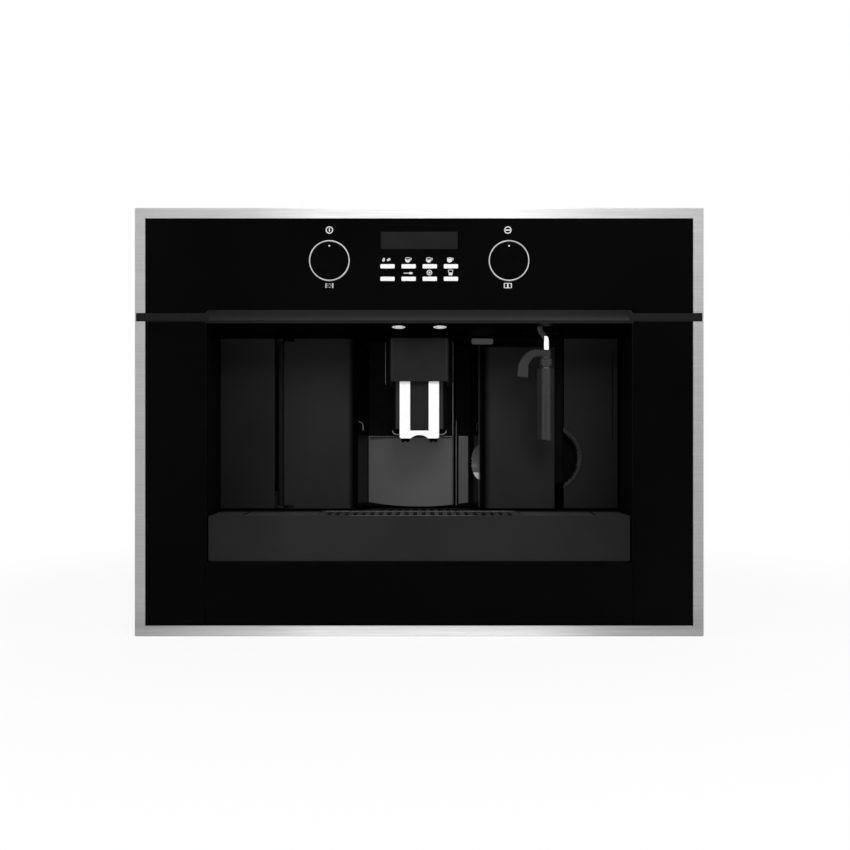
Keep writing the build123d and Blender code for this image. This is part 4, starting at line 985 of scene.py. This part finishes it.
# ---------------------------------------- wand: screws of the ring, a bore in the sleeve
RING_RADIUS = 6.75
RING_SCREW = [(1.0, -0.3), (1.0, 0.25), (0.6, 0.3), (0, 0.1)]
RING_SCREW_Z = 284.6
SLEEVE_BORE = [(0.9, -0.3), (0.9, 0.12), (0.5, 0.14), (0, 0.05)]
BORE_REACH = (-4.6, -3.77, 0)
BORE_Z = 266.8
bm = bmesh.new()
for dx in (-4.9, 4.2):
    dy = -math.sqrt(RING_RADIUS**2 - dx**2)
    turned(bm, RING_SCREW, (WAND_X + dx, WAND_Y + dy, RING_SCREW_Z), (dx, dy, 0), PIN_STEPS)
finish_mesh("ring_screws", bm, "wand_ring", BLACK_GAP)
bm = bmesh.new()
turned(bm, SLEEVE_BORE, Vector((WAND_X, WAND_Y, BORE_Z)) + Vector(BORE_REACH), BORE_REACH, PIN_STEPS)
finish_mesh("sleeve_bore", bm, "steam_wand", BLACK_GAP)

# ---------------------------------------- spout: two tapered outlets, each with two tips
DOWNWARD = (0, 0, -1)
OUTLET = [(4.6, -0.2), (5.1, 0.2), (5.0, 0.6), (4.4, 3.0), (2.4, 3.2), (2.4, 2.6), (0, 2.6)]
OUTLET_TIP = [(1.5, 0.0), (1.3, 0.6), (0.9, 1.3), (0.5, 1.4), (0, 1.1)]
OUTLET_STEPS = 32
TIP_OFFSET = 2.4
TIP_DROP = 3.0
bm = bmesh.new()
for outlet_x in (-OUTLET_X, OUTLET_X):
    turned(bm, OUTLET, (outlet_x, OUTLET_Y, SPOUT_FOOT), DOWNWARD, OUTLET_STEPS)
    for offset in (-TIP_OFFSET, TIP_OFFSET):
        turned(bm, OUTLET_TIP, (outlet_x + offset, OUTLET_Y, SPOUT_FOOT - TIP_DROP), DOWNWARD, PIN_STEPS)
finish_mesh("outlet_tips", bm, "coffee_spout", BLACK_GAP)

# ---------------------------------------- raised rim round the finger recess of the tank
RECESS = (144.5, 183.4, 34.0)
RIM = (142.8, 184.5)
RIM_RADIUS = 37.9
RIM_LINE = 0.6
RIM_END_X = 159.7
ARC_STEPS = 40


def arc_right_of(edge_x, circle):
    """The part of a circle (x, z, radius) to the right of an edge, from below to above, as (x, z) points."""
    cx, cz, radius = circle
    reach = math.acos((edge_x - cx) / radius)
    angles = [-reach + 2 * reach * i / ARC_STEPS for i in range(ARC_STEPS + 1)]
    return [(cx + radius * math.cos(t), cz + radius * math.sin(t)) for t in angles]


for name, material, outer, inner in (
    ("recess_rim", RIM_GREY, (*RIM, RIM_RADIUS), RECESS),
    ("recess_line", BLACK_GAP, (*RIM, RIM_RADIUS + RIM_LINE), (*RIM, RIM_RADIUS + 0.05)),
):
    outline = arc_right_of(RIM_END_X, outer) + arc_right_of(RIM_END_X, inner)[::-1]
    bm = bmesh.new()
    loops = [ring_of(bm, [(x, y, z) for x, z in outline]) for y in (PANEL_FACE - 0.25, PANEL_FACE + 0.2)]
    bridge(bm, *loops)
    last = len(outline) - 1
    for loop in loops:
        for i in range(ARC_STEPS):
            bm.faces.new((loop[i], loop[i + 1], loop[last - i - 1], loop[last - i]))
    finish_mesh(name, bm, "tank", material)

# ---------------------------------------- lamps: two diodes on each lens
LAMP_FACE = Vector((22, 2.52, 325.11))
LAMP_TILT = (0, -0.154, -0.988)
DIODE_FORM = [(1.5, -0.2), (1.5, 0.1), (1.1, 0.16), (0, 0.16)]
DIODE_OFFSET = 4.0
bm = bmesh.new()
for lamp_x in (-LAMP_FACE.x, LAMP_FACE.x):
    for offset in (-DIODE_OFFSET, DIODE_OFFSET):
        turned(bm, DIODE_FORM, (lamp_x + offset, LAMP_FACE.y, LAMP_FACE.z), LAMP_TILT, PIN_STEPS)
finish_mesh("lamp_diodes", bm, "machine", DIODE)

# ---------------------------------------- painted highlights on the grid and the tray's edge, groove under the band
trim(
    "grid_edge_glint",
    "grid",
    LINE_LIGHT,
    boxes=(((-104, 47.4, GRID_HIGH - 0.1), (104, 48.2, GRID_HIGH + 0.35)),),
)
trim(
    "tray_edge_glint",
    "tray",
    GLINT,
    boxes=(((-72, TRAY_FRONT + 0.1, TRAY_HIGH - 0.1), (60, TRAY_FRONT + 0.5, TRAY_HIGH + 0.06)),),
)
GROOVE_HALF = NICHE_HALF - 0.4
trim(
    "brow_groove",
    "machine",
    BLACK_GAP,
    boxes=(
        ((-GROOVE_HALF, FRONT_Y - 0.12, NICHE_HIGH - 0.15), (GROOVE_HALF, FRONT_Y + 0.2, NICHE_HIGH + 0.25)),
    ),
)

# ---------------------------------------- dust filters behind the vents
FILTER_EASE = 0.3
FILTERS = (
    ("rear_filter", (-80, 386.4, 240), (200, 388.0, 360)),
    ("left_filter", (2.4 - BODY_HALF, 160, 270), (3.6 - BODY_HALF, 340, 390)),
    ("right_filter", (BODY_HALF - 3.6, 160, 270), (BODY_HALF - 2.4, 340, 390)),
    ("top_filter", (154, 128, BODY_HIGH - 4.4), (226, 272, BODY_HIGH - 2.8)),
)
for name, low, high in FILTERS:
    bm = bmesh.new()
    block(bm, low, high, FILTER_EASE)
    finish_mesh(name, bm, "machine", MESH_BLACK)

# ---------------------------------------- screws of the sheet housing and the runners
SIDE_SCREWS = ((30, 410), (200, 418), (372, 410), (30, 150), (372, 150), (30, 30), (372, 30))
TOP_SCREWS = (
    (-240, 20),
    (240, 20),
    (-240, 375),
    (240, 375),
    (0, 20),
    (0, 375),
    (100, 375),
    (-160, 20),
    (160, 20),
)
RUNNER_SCREWS = (40, 196, 352)
HOUSING_HEAD = (3.4, 1.3)
RUNNER_HEAD = (3.0, 1.0)
RUNNER_WALL = 1.2
RUNNER_Z = 90
bm = bmesh.new()
for side in (-1, 1):
    for y, z in SIDE_SCREWS:
        screw(bm, (side * BODY_HALF, y, z), (side, 0, 0), *HOUSING_HEAD)
for x, y in TOP_SCREWS:
    screw(bm, (x, y, BODY_HIGH), (0, 0, 1), *HOUSING_HEAD)
finish_mesh("housing_screws", bm, "machine", SCREW)
bm = bmesh.new()
for side in (-1, 1):
    for y in RUNNER_SCREWS:
        screw(bm, (side * (BODY_HALF + RUNNER_WALL), y, RUNNER_Z), (side, 0, 0), *RUNNER_HEAD)
finish_mesh("runner_screws", bm, "machine", SCREW)

# ---------------------------------------- studio, in metres
WHITE = (1, 1, 1, 1)
FILL_LIGHT = 0.62
PAPER = (0.86, 0.86, 0.86, 1)
PAPER_NEAR = 0.42
PAPER_FAR = 0.95
PAPER_SHARE = 0.87
FLOOR_Z = -0.0006
CARD_X = 0.006
CAMERA = (0.00606, -1.190, 0.2209)
AIM = Vector((0, 0.05, 0.22))

world = bpy.data.worlds.new("studio")
bpy.context.scene.world = world
tree = empty_tree(world)
fill = add_node(tree, "ShaderNodeBackground", {"Color": WHITE, "Strength": FILL_LIGHT})
backdrop = add_node(tree, "ShaderNodeBackground", {"Color": WHITE, "Strength": 1.0})
inputs = {"Fac": seen_straight(tree), 1: fill.outputs[0], 2: backdrop.outputs[0]}
add_node(tree, "ShaderNodeOutputWorld", {"Surface": add_node(tree, "ShaderNodeMixShader", inputs).outputs[0]})


def floor_material():
    """White paper: lit as paper near the object, so that its shadow stays, and plain white further out."""
    material = bpy.data.materials.new("floor_paper")
    tree = empty_tree(material)
    paper = add_node(tree, "ShaderNodeBsdfDiffuse", {"Color": PAPER})
    white = add_node(tree, "ShaderNodeEmission", {"Strength": 1.0})
    distance = add_node(tree, "ShaderNodeVectorMath", {0: object_place(tree)}, operation="LENGTH")
    far = map_range(
        tree,
        distance.outputs["Value"],
        PAPER_NEAR,
        PAPER_FAR,
        PAPER_SHARE,
        1.0,
        interpolation_type="SMOOTHSTEP",
    )
    share = arithmetic(tree, "MULTIPLY", seen_straight(tree), far)
    mix = add_node(tree, "ShaderNodeMixShader", {"Fac": share, 1: paper.outputs[0], 2: white.outputs[0]})
    add_node(tree, "ShaderNodeOutputMaterial", {"Surface": mix.outputs[0]})
    return material


def plane(name, size_x, size_y, matrix, material):
    mesh = bpy.data.meshes.new(name)
    x, y = size_x / 2, size_y / 2
    mesh.from_pydata([(-x, -y, 0), (x, -y, 0), (x, y, 0), (-x, y, 0)], [], [(0, 1, 2, 3)])
    obj = bpy.data.objects.new(name, mesh)
    obj.matrix_world = matrix
    mesh.materials.append(material)
    bpy.context.collection.objects.link(obj)
    return obj


def soft_box(name, place, width, height, power):
    """A rectangular lamp that faces the machine."""
    light = bpy.data.lights.new(name, "AREA")
    light.shape = "RECTANGLE"
    light.size = width
    light.size_y = height
    light.energy = power
    obj = bpy.data.objects.new(name, light)
    obj.location = place
    obj.rotation_euler = (AIM - Vector(place)).to_track_quat("-Z", "Y").to_euler()
    bpy.context.collection.objects.link(obj)


plane("floor", 14, 14, Matrix.Translation((0, 0.18, FLOOR_Z)), floor_material())

# Black cards behind the camera and on the floor before it, seen only in reflections, as for glossy fronts
CARD = soft_black("card_cloth", 2, (0.9, 1.0), specular=0.0)
upright = Matrix.Rotation(math.radians(90), 4, "X")
for card in (
    plane("card_front", 1.5, 1.1, Matrix.Translation((CARD_X, -1.32, 0.24)) @ upright, CARD),
    plane("card_floor", 1.5, 1.26, Matrix.Translation((CARD_X, -0.69, 0.0004)), CARD),
):
    card.visible_camera = False
    card.visible_diffuse = False
    card.visible_shadow = False
    card.visible_transmission = False

soft_box("key", (0.35, -1.5, 1.5), 1.2, 0.8, 16)
soft_box("side_left", (-1.7, -0.9, 0.5), 0.7, 1.4, 6)
soft_box("side_right", (1.7, -0.9, 0.5), 0.7, 1.4, 6)

camera_data = bpy.data.cameras.new("camera")
camera_data.sensor_width = 36.0
camera_data.lens = 47.41
camera = bpy.data.objects.new("camera", camera_data)
camera.location = CAMERA
camera.rotation_euler = (math.radians(90), 0, 0)
bpy.context.collection.objects.link(camera)
bpy.context.scene.camera = camera
bpy.context.scene.view_settings.view_transform = "Standard"
